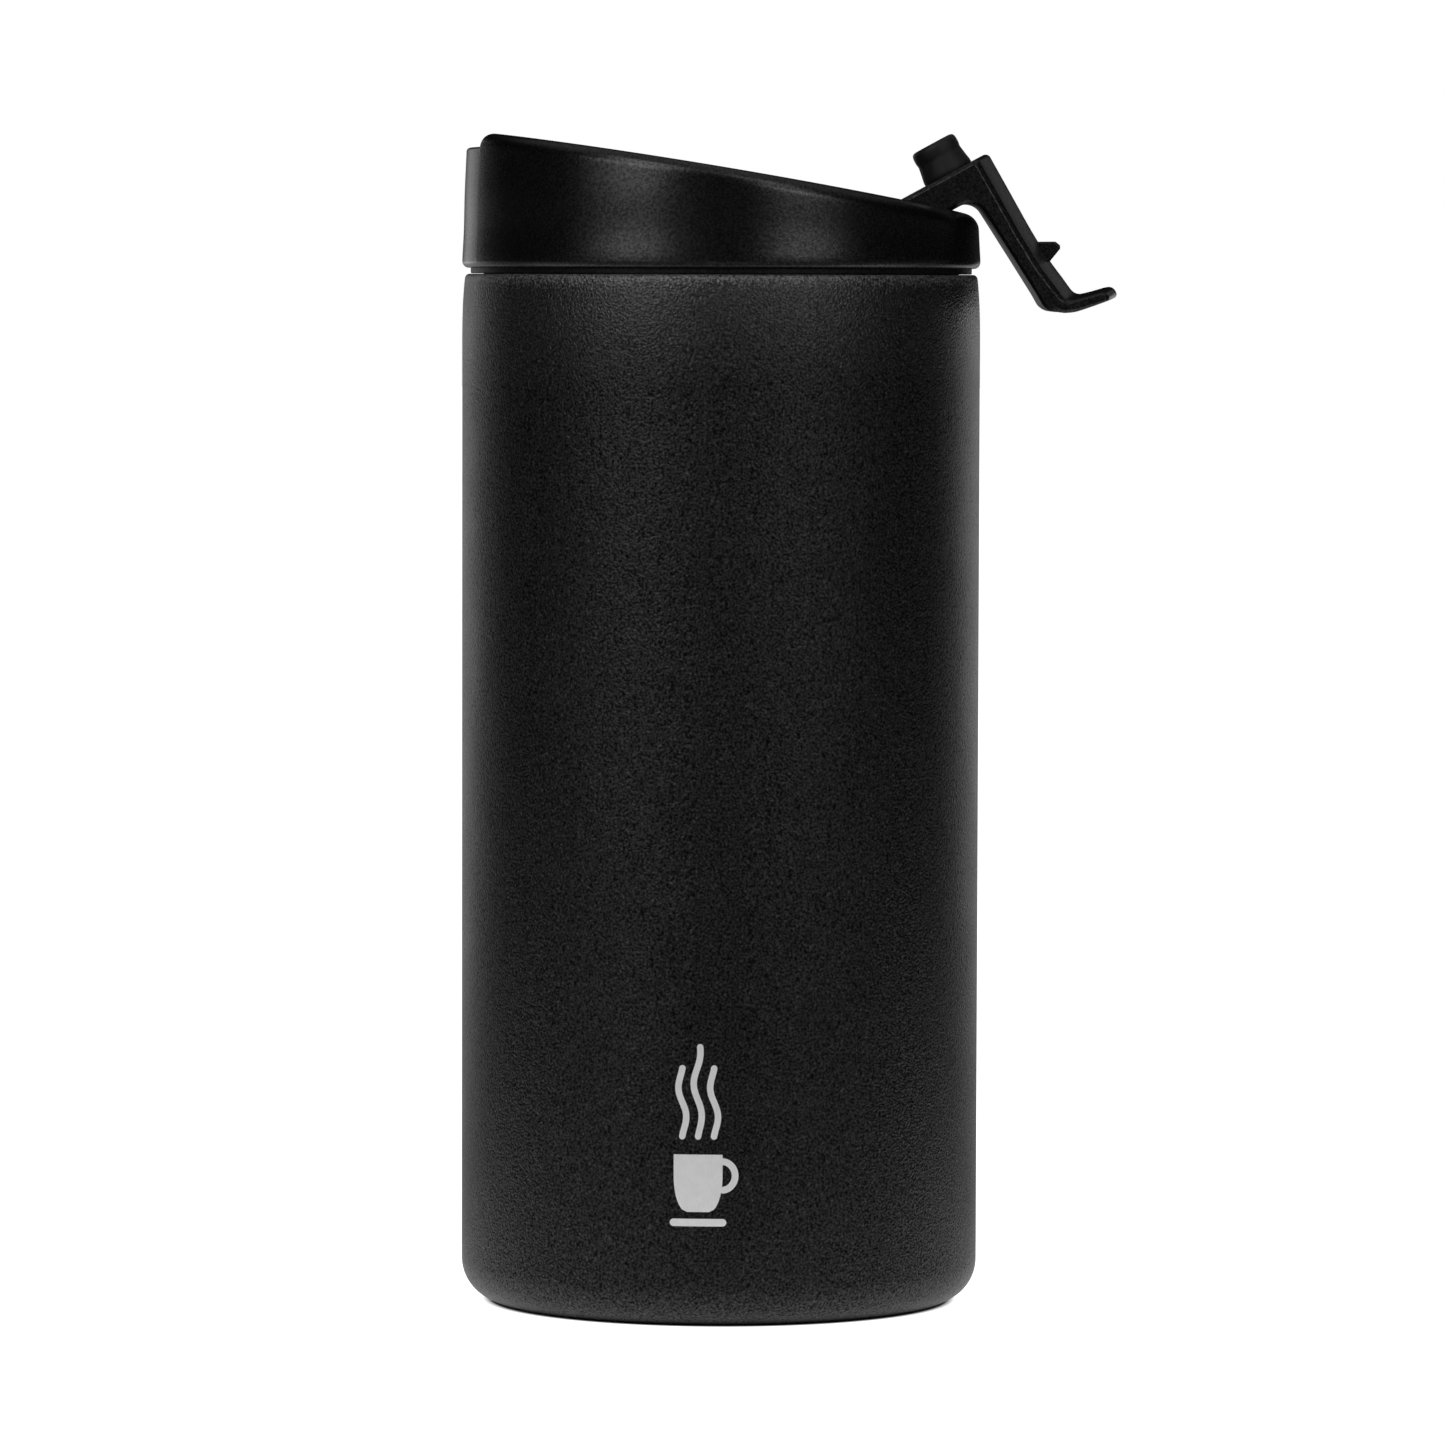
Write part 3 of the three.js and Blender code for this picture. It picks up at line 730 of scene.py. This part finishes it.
def wall_radius(z):
    """Outside radius of the lid's wall at a height, from how much it leans in below that height."""
    radius = LID_RADIUS
    for (z0, lean0), (z1, lean1) in zip(LID_LEAN, LID_LEAN[1:]):
        reach = min(max(z - z0, 0.0), z1 - z0)
        lean = lean0 + (lean1 - lean0) * reach / (z1 - z0)
        radius -= reach * (lean0 + lean) / 2
    return radius


def basin_radius(z):
    return BASIN_RADIUS + BASIN_DRAFT * (z - BASIN_FLOOR)


def lid_columns():
    """Columns round the lid: (angle from -X, y). Those near the notch keep their y; the others have none."""
    side, typical_radius, plain_columns = NOTCH_HALF_WIDTH, 33.0, 100
    stations = [i * (side - NOTCH_LOW_FILLET) / 16 for i in range(17)]
    stations += [side - NOTCH_LOW_FILLET + NOTCH_LOW_FILLET * math.sin(math.radians(a))
                 for a in (22.5, 45, 67.5, 90)]
    stations += [side + NOTCH_SLANT + NOTCH_TOP_FILLET * (1 - math.cos(math.radians(a)))
                 for a in range(0, 91, 11)]
    stations += [side + NOTCH_TOP_FILLET + 0.9 * i for i in range(1, 8)]
    half = [(math.asin(y / typical_radius), y) for y in stations]
    first = half[-1][0]
    half += [(first + (math.pi - first) * i / plain_columns, None) for i in range(1, plain_columns + 1)]
    return [(-angle, None if y is None else -y) for angle, y in reversed(half[1:-1])] + half


def placed(column, radius):
    """Where a column stands at a radius. Beyond the notch it turns gradually from constant y to radial."""
    angle, y = column
    if y is not None:
        straight = math.asin(max(-1, min(1, y / radius)))
        share = min(1.0, max(0.0, (abs(y) - NOTCH_HALF_WIDTH - 1.5) / 5.0))
        angle = straight + (angle - straight) * share * share * (3 - 2 * share)
    return -radius * math.cos(angle), radius * math.sin(angle)


def in_notch(column):
    return column[1] is not None and abs(column[1]) <= NOTCH_HALF_WIDTH


def top_height(column, radius):
    """Height of the lid's top surface at a column and a radius, with the notch's rounded sides."""
    if in_notch(column):
        low = NOTCH_LOW_FILLET
        into = max(0.0, abs(column[1]) - (NOTCH_HALF_WIDTH - low))
        return NOTCH_FLOOR + low - math.sqrt(max(0.0, low ** 2 - into ** 2))
    rim = rim_height(placed(column, radius)[0])
    if column[1] is None:
        return rim
    high = NOTCH_TOP_FILLET
    over = min(high, abs(column[1]) - NOTCH_HALF_WIDTH - NOTCH_SLANT)
    return rim - (high - math.sqrt(max(0.0, high ** 2 - (high - over) ** 2)))


def lid_section(column):
    """The closed outline of the lid's wall at a column, as (radius, height)."""
    fillet = NOTCH_RIM_FILLET if in_notch(column) else RIM_FILLET
    corner_top = LID_BOTTOM + LID_CORNER
    wall_top = top_height(column, wall_radius(NOTCH_FLOOR) - 0.5) - fillet
    section = [(LID_INNER, LID_BOTTOM), (33.9, LID_BOTTOM)]
    section += arc(LID_RADIUS - LID_CORNER, corner_top, LID_CORNER, -80, 0, 7)
    for i in range(1, 15):
        z = corner_top + (wall_top - corner_top) * i / 15
        section.append((wall_radius(z), z))
    crest_from = wall_radius(wall_top) - fillet
    crest_to = basin_radius(wall_top + fillet) + BASIN_EDGE
    for degrees in range(0, 91, 9):
        radius = crest_from + fillet * math.cos(math.radians(degrees))
        height = top_height(column, radius) - fillet + fillet * math.sin(math.radians(degrees))
        section.append((radius, height))
    for i in range(1, 5):
        radius = crest_from + (crest_to - crest_from) * i / 5
        section.append((radius, top_height(column, radius)))
    edge_z = top_height(column, crest_to) - BASIN_EDGE
    section += arc(crest_to, edge_z, BASIN_EDGE, 90, 180, 5)
    for i in range(1, 9):
        z = edge_z + (PLUG_JOINT_Z - edge_z) * i / 8
        section.append((basin_radius(z), z))
    return section + [(LID_INNER, PLUG_JOINT_Z)]


def lid_shell():
    """Wall with slanted, rounded rim, thumb notch, pocket for the catch and seat for the open lever."""
    rows = [[(*placed(column, r), z) for r, z in lid_section(column)] for column in lid_columns()]
    shell = loft("lid_shell_moulded", rows, ring=True)
    combine(shell, box("pocket", *CATCH_POCKET, 0.35), "DIFFERENCE")
    # The seat is cut by a block round the closed lever's arm, with its gaps, that opens with the lever.
    half = LEVER_HALF_WIDTH + SEAT_SIDE_GAP
    seat = box("seat", (-34, -half, HINGE.z - 8), (HINGE.x, half, ARM_TOP + SEAT_GAP), 0.4)
    seat.data.transform(OPENED)
    return combine(shell, seat, "DIFFERENCE")


def stacked(name, layers):
    """A solid of the drinking hole's shape, through layers (half width, height)."""
    return loft(name, [track(width, DRINK_HALF_STRAIGHT, z, DRINK_X) for width, z in layers])


def lid_plug():
    """Basin floor with its hole, vent and hinge ears, and the skirt below it."""
    under, floor_z = BASIN_FLOOR - BASIN_THICKNESS, BASIN_FLOOR
    flange_low, flange_high = CUP_HEIGHT + PLUG_GAP, PLUG_JOINT_Z - PLUG_GAP
    plug = turned("lid_plug_moulded", rounded([
        (0, under), (SKIRT_INNER, under, 0.6), (SKIRT_INNER, SKIRT_BOTTOM, 0.3),
        (SKIRT_RADIUS - 0.4, SKIRT_BOTTOM, 0.3), (SKIRT_RADIUS, SKIRT_BOTTOM + 0.7, 0.4),
        (SKIRT_RADIUS, GROOVE_LOW, 0.15), (GROOVE_RADIUS, GROOVE_LOW, 0.1),
        (GROOVE_RADIUS, GROOVE_HIGH, 0.1), (SKIRT_RADIUS, GROOVE_HIGH, 0.15),
        (SKIRT_RADIUS, flange_low, 0.2), (FLANGE_RADIUS, flange_low, 0.15), (FLANGE_RADIUS, flange_high, 0.1),
        (basin_radius(PLUG_JOINT_Z), flange_high), (BASIN_RADIUS, floor_z, 1.0), (0, floor_z),
    ], closed=False), HIDDEN_STEPS)
    wide = DRINK_HALF_WIDTH + COLLAR_WALL
    combine(plug, stacked("collar", ((wide - 0.3, 127.8), (wide, 128.1), (wide, floor_z - 0.4))), "UNION")
    combine(plug, stacked("hole", (
        (DRINK_HALF_WIDTH, 122), (DRINK_HALF_WIDTH, floor_z - 0.45), (DRINK_HALF_WIDTH + 0.1, floor_z - 0.2),
        (DRINK_HALF_WIDTH + 0.45, floor_z + 0.02), (DRINK_HALF_WIDTH + 0.6, floor_z + 0.5))), "DIFFERENCE")
    vent = turned("vent", [
        (0, 127), (VENT_RADIUS, 127), (VENT_RADIUS, floor_z - 0.9), (VENT_SEAT_RADIUS - 0.2, floor_z - 0.9),
        (VENT_SEAT_RADIUS, floor_z - 0.7), (VENT_SEAT_RADIUS, floor_z - 0.2),
        (VENT_SEAT_RADIUS + 0.25, floor_z + 0.02), (VENT_SEAT_RADIUS + 0.25, floor_z + 1), (0, floor_z + 1),
    ], SMALL_STEPS, VENT_X)
    combine(plug, vent, "DIFFERENCE")
    ear_outline = [(HINGE.x - EAR_HALF_FOOT, floor_z - 0.6), (HINGE.x + EAR_HALF_FOOT, floor_z - 0.6),
                   *arc(HINGE.x, HINGE.z, EAR_RADIUS, 0, 180, 24)]
    for y in (-EAR_Y, EAR_Y):
        ear = across("ear", lambda _: ear_outline, EAR_HALF_WIDTH, 0.25, 0.8)
        combine(plug, shifted(ear, 0, y, 0), "UNION")
    return combine(plug, hinge_bore(PLUG_BORE_GAP), "DIFFERENCE")


def lid_gasket():
    """Ring in the skirt's groove, with two lips."""
    groove, waist, lip = GROOVE_RADIUS + 0.05, SKIRT_RADIUS - 0.05, MOUTH_RADIUS - 0.1
    low, high = GROOVE_LOW + 0.15, GROOVE_HIGH - 0.15
    return turned("lid_gasket_ring", rounded([
        (groove, low, 0.1), (waist, low, 0.1), (lip, low + 0.35, 0.15), (waist, low + 0.85, 0.15),
        (waist, high - 0.95, 0.15), (lip, high - 0.55, 0.15), (waist, high, 0.08), (groove, high, 0.1),
    ]), HIDDEN_STEPS)


def hinge_pin():
    """Steel rod with rounded ends."""
    profile = rounded([(0, -PIN_HALF_LENGTH), (PIN_RADIUS, -PIN_HALF_LENGTH, 0.2),
                       (PIN_RADIUS, PIN_HALF_LENGTH, 0.2), (0, PIN_HALF_LENGTH)], closed=False)
    return laid_on_hinge(turned("hinge_pin_rod", profile, PIN_STEPS))


finished(lid_shell(), "lid", "lid_shell", LID_PLASTIC, flat=True)
finished(lid_plug(), "lid", "lid_plug", PLUG_PLASTIC, flat=True)
finished(lid_gasket(), "lid", "lid_gasket", SILICONE)
finished(hinge_pin(), "lid", "hinge_pin", PIN_STEEL)

# ------------------------------------------------------------------ lever


def lever_outline():
    """The arm's outline at y = 0, as (x, z, round, slope, edge).

    round is the share of the round about the lid's axis that a point follows, slope the share of the tab's
    slope that it keeps to meanwhile, and edge the share of the side edges' rounding that it gets.
    """
    outline = []

    def line(points, round_share=0.0, slope_share=0.0, edge_share=1.0):
        outline.extend((x, z, round_share, slope_share, edge_share) for x, z in points)

    # The level arm: underside from the front to the barrel, barrel, and top back to the inner corner.
    front, underside_end, underside_steps = -28.6, 4.0, 24
    for i in range(underside_steps + 1):
        x = front + (underside_end - front) * i / underside_steps
        line([(x, ARM_UNDERSIDE)], max(0.0, min(1.0, -(x + 8) / 20)))
    line(arc(HINGE.x, HINGE.z, BARREL_RADIUS, -108, 138, 26))
    top_start, top_end, top_steps = 1.2, -22.9, 12
    line([(2.6, ARM_TOP + 0.05)])
    line([(top_start + (top_end - top_start) * i / top_steps, ARM_TOP) for i in range(top_steps)])
    line(arc(-23.1, 140.2, 2.4, -90, -180, 10))

    # The upright arm's inner face, up to the tab.
    line([(-25.58, 141.3), (-25.66, 142.4), (-25.75, 143.6), (-25.84, 145.0), (-26.0, 147.2), (-26.15, 149.5),
          (-26.28, 151.5), (-26.39, 153.2)])
    line(arc(-28.7, 154.4, 2.3, 4, 68, 10))

    # The tab: its top, its rounded tip and its underside.
    line([(-28.5, 157.05), (-29.3, 157.42)], edge_share=0.9)
    tab_start, tab_end, tab_steps = -30.0, -35.5, 11
    for i in range(tab_steps + 1):
        share = i / tab_steps
        x = tab_start + (tab_end - tab_start) * share
        z = 157.66 - TAB_SLOPE * (x - tab_start) - TAB_SAG * math.sin(math.pi * share)
        line([(x, z)], share, share, 0.9 - 0.4 * share)
    line([(-35.95, 158.62), (-36.15, 158.5)], 1.0, 0.9, 0.5)
    line([(-36.27, 158.3)], 1.0, 0.7, 0.5)
    line([(-36.3, 158.0), (-36.27, 157.65)], 1.0, 0.3, 0.5)
    line([(-36.12, 157.3), (-35.85, 157.05), (-35.4, 156.88), (-34.6, 156.7), (-33.6, 156.48),
          (-32.6, 156.22)], 1.0, 0.0, 0.5)
    line([(-31.95, 156.02), (-31.55, 155.75), (-31.28, 155.4), (-31.1, 154.9), (-31.0, 154.2)], 1.0, 0.0, 0.8)

    # The upright arm's outer face, which lies against the basin's wall when the lever is closed.
    line([(-30.85, 153.0), (-30.7, 152.0), (-30.55, 151.0), (-30.42, 150.0), (-30.35, 149.0), (-30.28, 147.6),
          (-30.21, 146.2), (-30.15, 144.8), (-30.12, 142.6), (-30.09, 140.4), (-30.06, 138.2),
          (-30.03, 136.2), (-30.0, 134.4)], 1.0)
    line(arc(-29.25, 134.05, 0.75, 180, 262, 8), 1.0)
    return outline


def lever_arm():
    """L-shaped arm with the hinge's barrel, the thumb tab, the snap catch and the stopper's post."""
    outline = lever_outline()

    def outline_at(y):
        loop = []
        for x, z, round_share, slope_share, _ in outline:
            shift = round_share * (abs(x) - math.sqrt(max(0.0, x * x - y * y))) if round_share else 0.0
            loop.append((x + shift, z - TAB_SLOPE * shift * slope_share))
        return loop

    arm = across("lever_arm_moulded", outline_at, LEVER_HALF_WIDTH, LEVER_EDGE, 0.9, [p[4] for p in outline])
    catch_outline = rounded([(-29.2, 146.75), (-29.2, 150.5), (-30.2, 150.17), (-32.3, 149.3, 0.3),
                             (-32.5, 148.9, 0.15), (-32.2, 148.15, 0.3), (-29.95, 146.95)])
    combine(arm, across("catch", lambda _: catch_outline, CATCH_HALF_WIDTH, 0.3, 1.5), "UNION")
    post_profile = rounded([(0, -POST_LENGTH), (POST_RADIUS, -POST_LENGTH, 0.3), (POST_RADIUS, 0), (0, 0)],
                           closed=False)
    post = turned("post", post_profile, BORE_STEPS, DRINK_X)
    combine(arm, shifted(post, 0, 0, ARM_UNDERSIDE + POST_ROOT), "UNION")
    return combine(arm, hinge_bore(LEVER_BORE_GAP), "DIFFERENCE")


def drink_stopper():
    """Silicone plug with round ends, waisted above its sealing lip, pushed over the arm's post."""
    # (half width, height from the arm's underside)
    outside = ((1.6, -4.65), (2.4, -4.64), (2.7, -4.59), (2.95, -4.44), (3.08, -4.2), (3.14, -3.9),
               (3.15, -3.6), (3.15, -3.3), (3.13, -3.05), (3.08, -2.8), (3.06, -2.6), (3.1, -2.3),
               (3.18, -1.8), (3.28, -1.2), (3.38, -0.7), (3.42, -0.45), (3.42, -0.1), (3.36, 0.02))
    rows = [track(width, DRINK_HALF_STRAIGHT, ARM_UNDERSIDE + z) for width, z in outside]
    rows += [track(SOCKET_RADIUS, 0, ARM_UNDERSIDE + z) for z in (0.02, -SOCKET_DEPTH)]
    return shifted(loft("drink_stopper_plug", rows), DRINK_X, 0, 0)


def vent_plug():
    """Silicone button that closes the vent."""
    radius, top = 1.9, ARM_UNDERSIDE - 0.2
    return turned("vent_plug_button", rounded([
        (0, top - 0.9), (radius - 0.35, top - 0.9, 0.3), (radius, top - 0.5, 0.2), (radius, top, 0.1),
        (0, top),
    ], closed=False), PIN_STEPS, VENT_X)


finished(lever_arm(), "lever", "lever_arm", LEVER_PLASTIC, crease=30, opened=True, flat=True)
finished(drink_stopper(), "lever", "drink_stopper", SILICONE, opened=True)
finished(vent_plug(), "lever", "vent_plug", SILICONE, opened=True)

# ------------------------------------------------------------------ CAD pieces inside the walls

for node, look in (("liner_foil", FOIL), ("getter_capsule", RAW_STEEL), ("vacuum_base", RAW_STEEL),
                   ("seal_bead", SOLDER)):
    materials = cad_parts[node].data.materials
    materials.clear()
    materials.append(look)

# ------------------------------------------------------------------ studio

SCENE = bpy.context.scene

# Lights, camera and the floor's size are in metres. What the floor's material measures is in millimetres.
FLOOR_HALF = 20.0
FLOOR_GLOW_NEAR = 0.72  # light that the table gives off, close to the mug
FLOOR_GLOW_FRONT = 0.02  # further away, on the camera's side
FLOOR_GLOW_BACK = 0.52  # and behind the mug
FLOOR_SHOWN = (0.7, 1.2)  # how much brighter the camera sees it, close to the mug and further away
NEAR_REACH = (70.0, 180.0)  # distances between which the near glow fades, on an oval that is longer in X
SHOWN_REACH = (40.0, 260.0)  # distances between which FLOOR_SHOWN changes
BACK_REACH = (250.0, 1000.0)  # distances between which the back's glow grows from a share to the whole
BACK_SHARE_NEAR = 0.6
BACK_TURN = (0.45, 0.85)  # Y over distance, between which the front's glow becomes the back's
BACK_GAP = (0.96, 0.995)  # Y over distance, between which that fades to a share, straight behind the mug
BACK_GAP_SHARE = 0.1
CONTACT_SHADOW = (31.0, 32.5)  # distances from the axis between which the glow sets in

DOME_HEIGHT = (0.5, 1.0)  # Z of the directions between which the surroundings get brighter; 1 is straight up
DOME_STRENGTH = (0.001, 0.36)

LIGHT_DISTANCE = 0.9
LIGHT_AIM = Vector((0, 0, 0.10))
LIGHTS = (  # name, azimuth, elevation, width, height, watts
    ("key_left", -42, 17, 0.58, 0.24, 0.53),
    ("key_left_core", -39, 17, 0.34, 0.24, 0.55),
    ("key_right", 38, 17, 0.54, 0.24, 0.41),
    ("key_right_core", 36, 17, 0.34, 0.24, 0.46),
    ("high_left", -33, 42, 0.38, 0.62, 1.60),
    ("high_right", 36, 42, 0.34, 0.62, 0.75),
    ("edge_right_high", 150, 24, 0.26, 0.30, 0.06),
    ("edge_left", -150, 4, 0.30, 0.46, 0.34),
    ("edge_right", 150, 3, 0.26, 0.26, 0.22),
)

CAMERA_PLACE = (0.00016, -1.133, 0.1395)
CAMERA_PITCH = -3.09  # degrees
CAMERA_ROLL = -0.15
CAMERA_LENS = 208.55  # millimetres, as a lens is named
CAMERA_SENSOR = 36.0


def floor():
    """Pale table. It glows beside, behind and close to the mug, and runs out into the white surroundings."""
    half = FLOOR_HALF
    mesh = bpy.data.meshes.new("floor")
    corners = [(-half, -half, 0), (half, -half, 0), (half, half, 0), (-half, half, 0)]
    mesh.from_pydata(corners, [], [(0, 1, 2, 3)])
    plane = bpy.data.objects.new("floor", mesh)
    SCENE.collection.objects.link(plane)
    look = Look("floor_pale", roughness=0.8, specular_ior_level=0.1)
    look.shader.inputs["Emission Color"].default_value = (1, 1, 1, 1)
    look.coloured(look.noise(60.0, detail=3.0), grey(0.42), grey(0.46))
    distance = look.length(look.place)
    oval = look.length(look.scaled(look.place, (0.5, 2.0, 1.0)))
    near = look.ranged(oval, FLOOR_GLOW_NEAR, 0.0, NEAR_REACH)
    backward = look.math("DIVIDE", look.along("Y"), distance)
    behind = look.math("MULTIPLY", look.ranged(backward, FLOOR_GLOW_FRONT, FLOOR_GLOW_BACK, BACK_TURN),
                       look.ranged(backward, 1.0, BACK_GAP_SHARE, BACK_GAP))
    behind = look.math("MULTIPLY", behind, look.ranged(distance, BACK_SHARE_NEAR, 1.0, BACK_REACH))
    glow = look.math("MAXIMUM", near, behind)
    camera_ray = look.add("ShaderNodeLightPath").outputs["Is Camera Ray"]
    seen = look.math("MULTIPLY", camera_ray, look.ranged(distance, *FLOOR_SHOWN, SHOWN_REACH))
    lit = look.math("MULTIPLY", look.math("ADD", seen, glow), look.ranged(distance, 0.0, 1.0, CONTACT_SHADOW))
    look.drive("Emission Strength", lit)
    mesh.materials.append(look.material)


def softbox(name, azimuth, elevation, width, height, watts):
    """A rectangular light aimed at the mug. Azimuth 0 is the camera's side, and it grows to the right."""
    light = bpy.data.lights.new(name, "AREA")
    light.shape, light.size, light.size_y, light.energy = "RECTANGLE", width, height, watts
    lamp = bpy.data.objects.new(name, light)
    SCENE.collection.objects.link(lamp)
    a, e = math.radians(azimuth), math.radians(elevation)
    outward = Vector((math.sin(a) * math.cos(e), -math.cos(a) * math.cos(e), math.sin(e)))
    lamp.location = LIGHT_AIM + outward * LIGHT_DISTANCE
    lamp.rotation_euler = (LIGHT_AIM - lamp.location).to_track_quat("-Z", "Y").to_euler()


def backdrop():
    """Surroundings that light the mug from overhead; the camera sees plain white."""
    world = bpy.data.worlds.new("studio")
    SCENE.world = world
    world.use_nodes = True
    nodes, links = world.node_tree.nodes, world.node_tree.links
    nodes.clear()
    split = nodes.new("ShaderNodeSeparateXYZ")
    links.new(nodes.new("ShaderNodeTexCoord").outputs["Generated"], split.inputs[0])
    ramp = nodes.new("ShaderNodeMapRange")
    ramp.interpolation_type = "SMOOTHSTEP"
    for socket, value in zip(("From Min", "From Max", "To Min", "To Max"), DOME_HEIGHT + DOME_STRENGTH):
        ramp.inputs[socket].default_value = value
    links.new(split.outputs["Z"], ramp.inputs["Value"])
    shown = nodes.new("ShaderNodeBackground")
    lighting = nodes.new("ShaderNodeBackground")
    mix = nodes.new("ShaderNodeMixShader")
    links.new(ramp.outputs["Result"], lighting.inputs["Strength"])
    shown.inputs["Strength"].default_value = 1.0
    for background in (shown, lighting):
        background.inputs["Color"].default_value = (1, 1, 1, 1)
    links.new(nodes.new("ShaderNodeLightPath").outputs["Is Camera Ray"], mix.inputs["Fac"])
    links.new(lighting.outputs[0], mix.inputs[1])
    links.new(shown.outputs[0], mix.inputs[2])
    links.new(mix.outputs[0], nodes.new("ShaderNodeOutputWorld").inputs["Surface"])


def camera():
    """Long lens level with the seam, looking slightly down."""
    data = bpy.data.cameras.new("camera")
    data.lens, data.sensor_width = CAMERA_LENS, CAMERA_SENSOR
    data.clip_start, data.clip_end = 0.1, 10
    eye = bpy.data.objects.new("camera", data)
    SCENE.collection.objects.link(eye)
    eye.location = CAMERA_PLACE
    eye.rotation_euler = (math.radians(90 + CAMERA_PITCH), math.radians(CAMERA_ROLL), 0)
    SCENE.camera = eye


floor()
backdrop()
camera()
for light in LIGHTS:
    softbox(*light)
SCENE.view_settings.view_transform = "Standard"
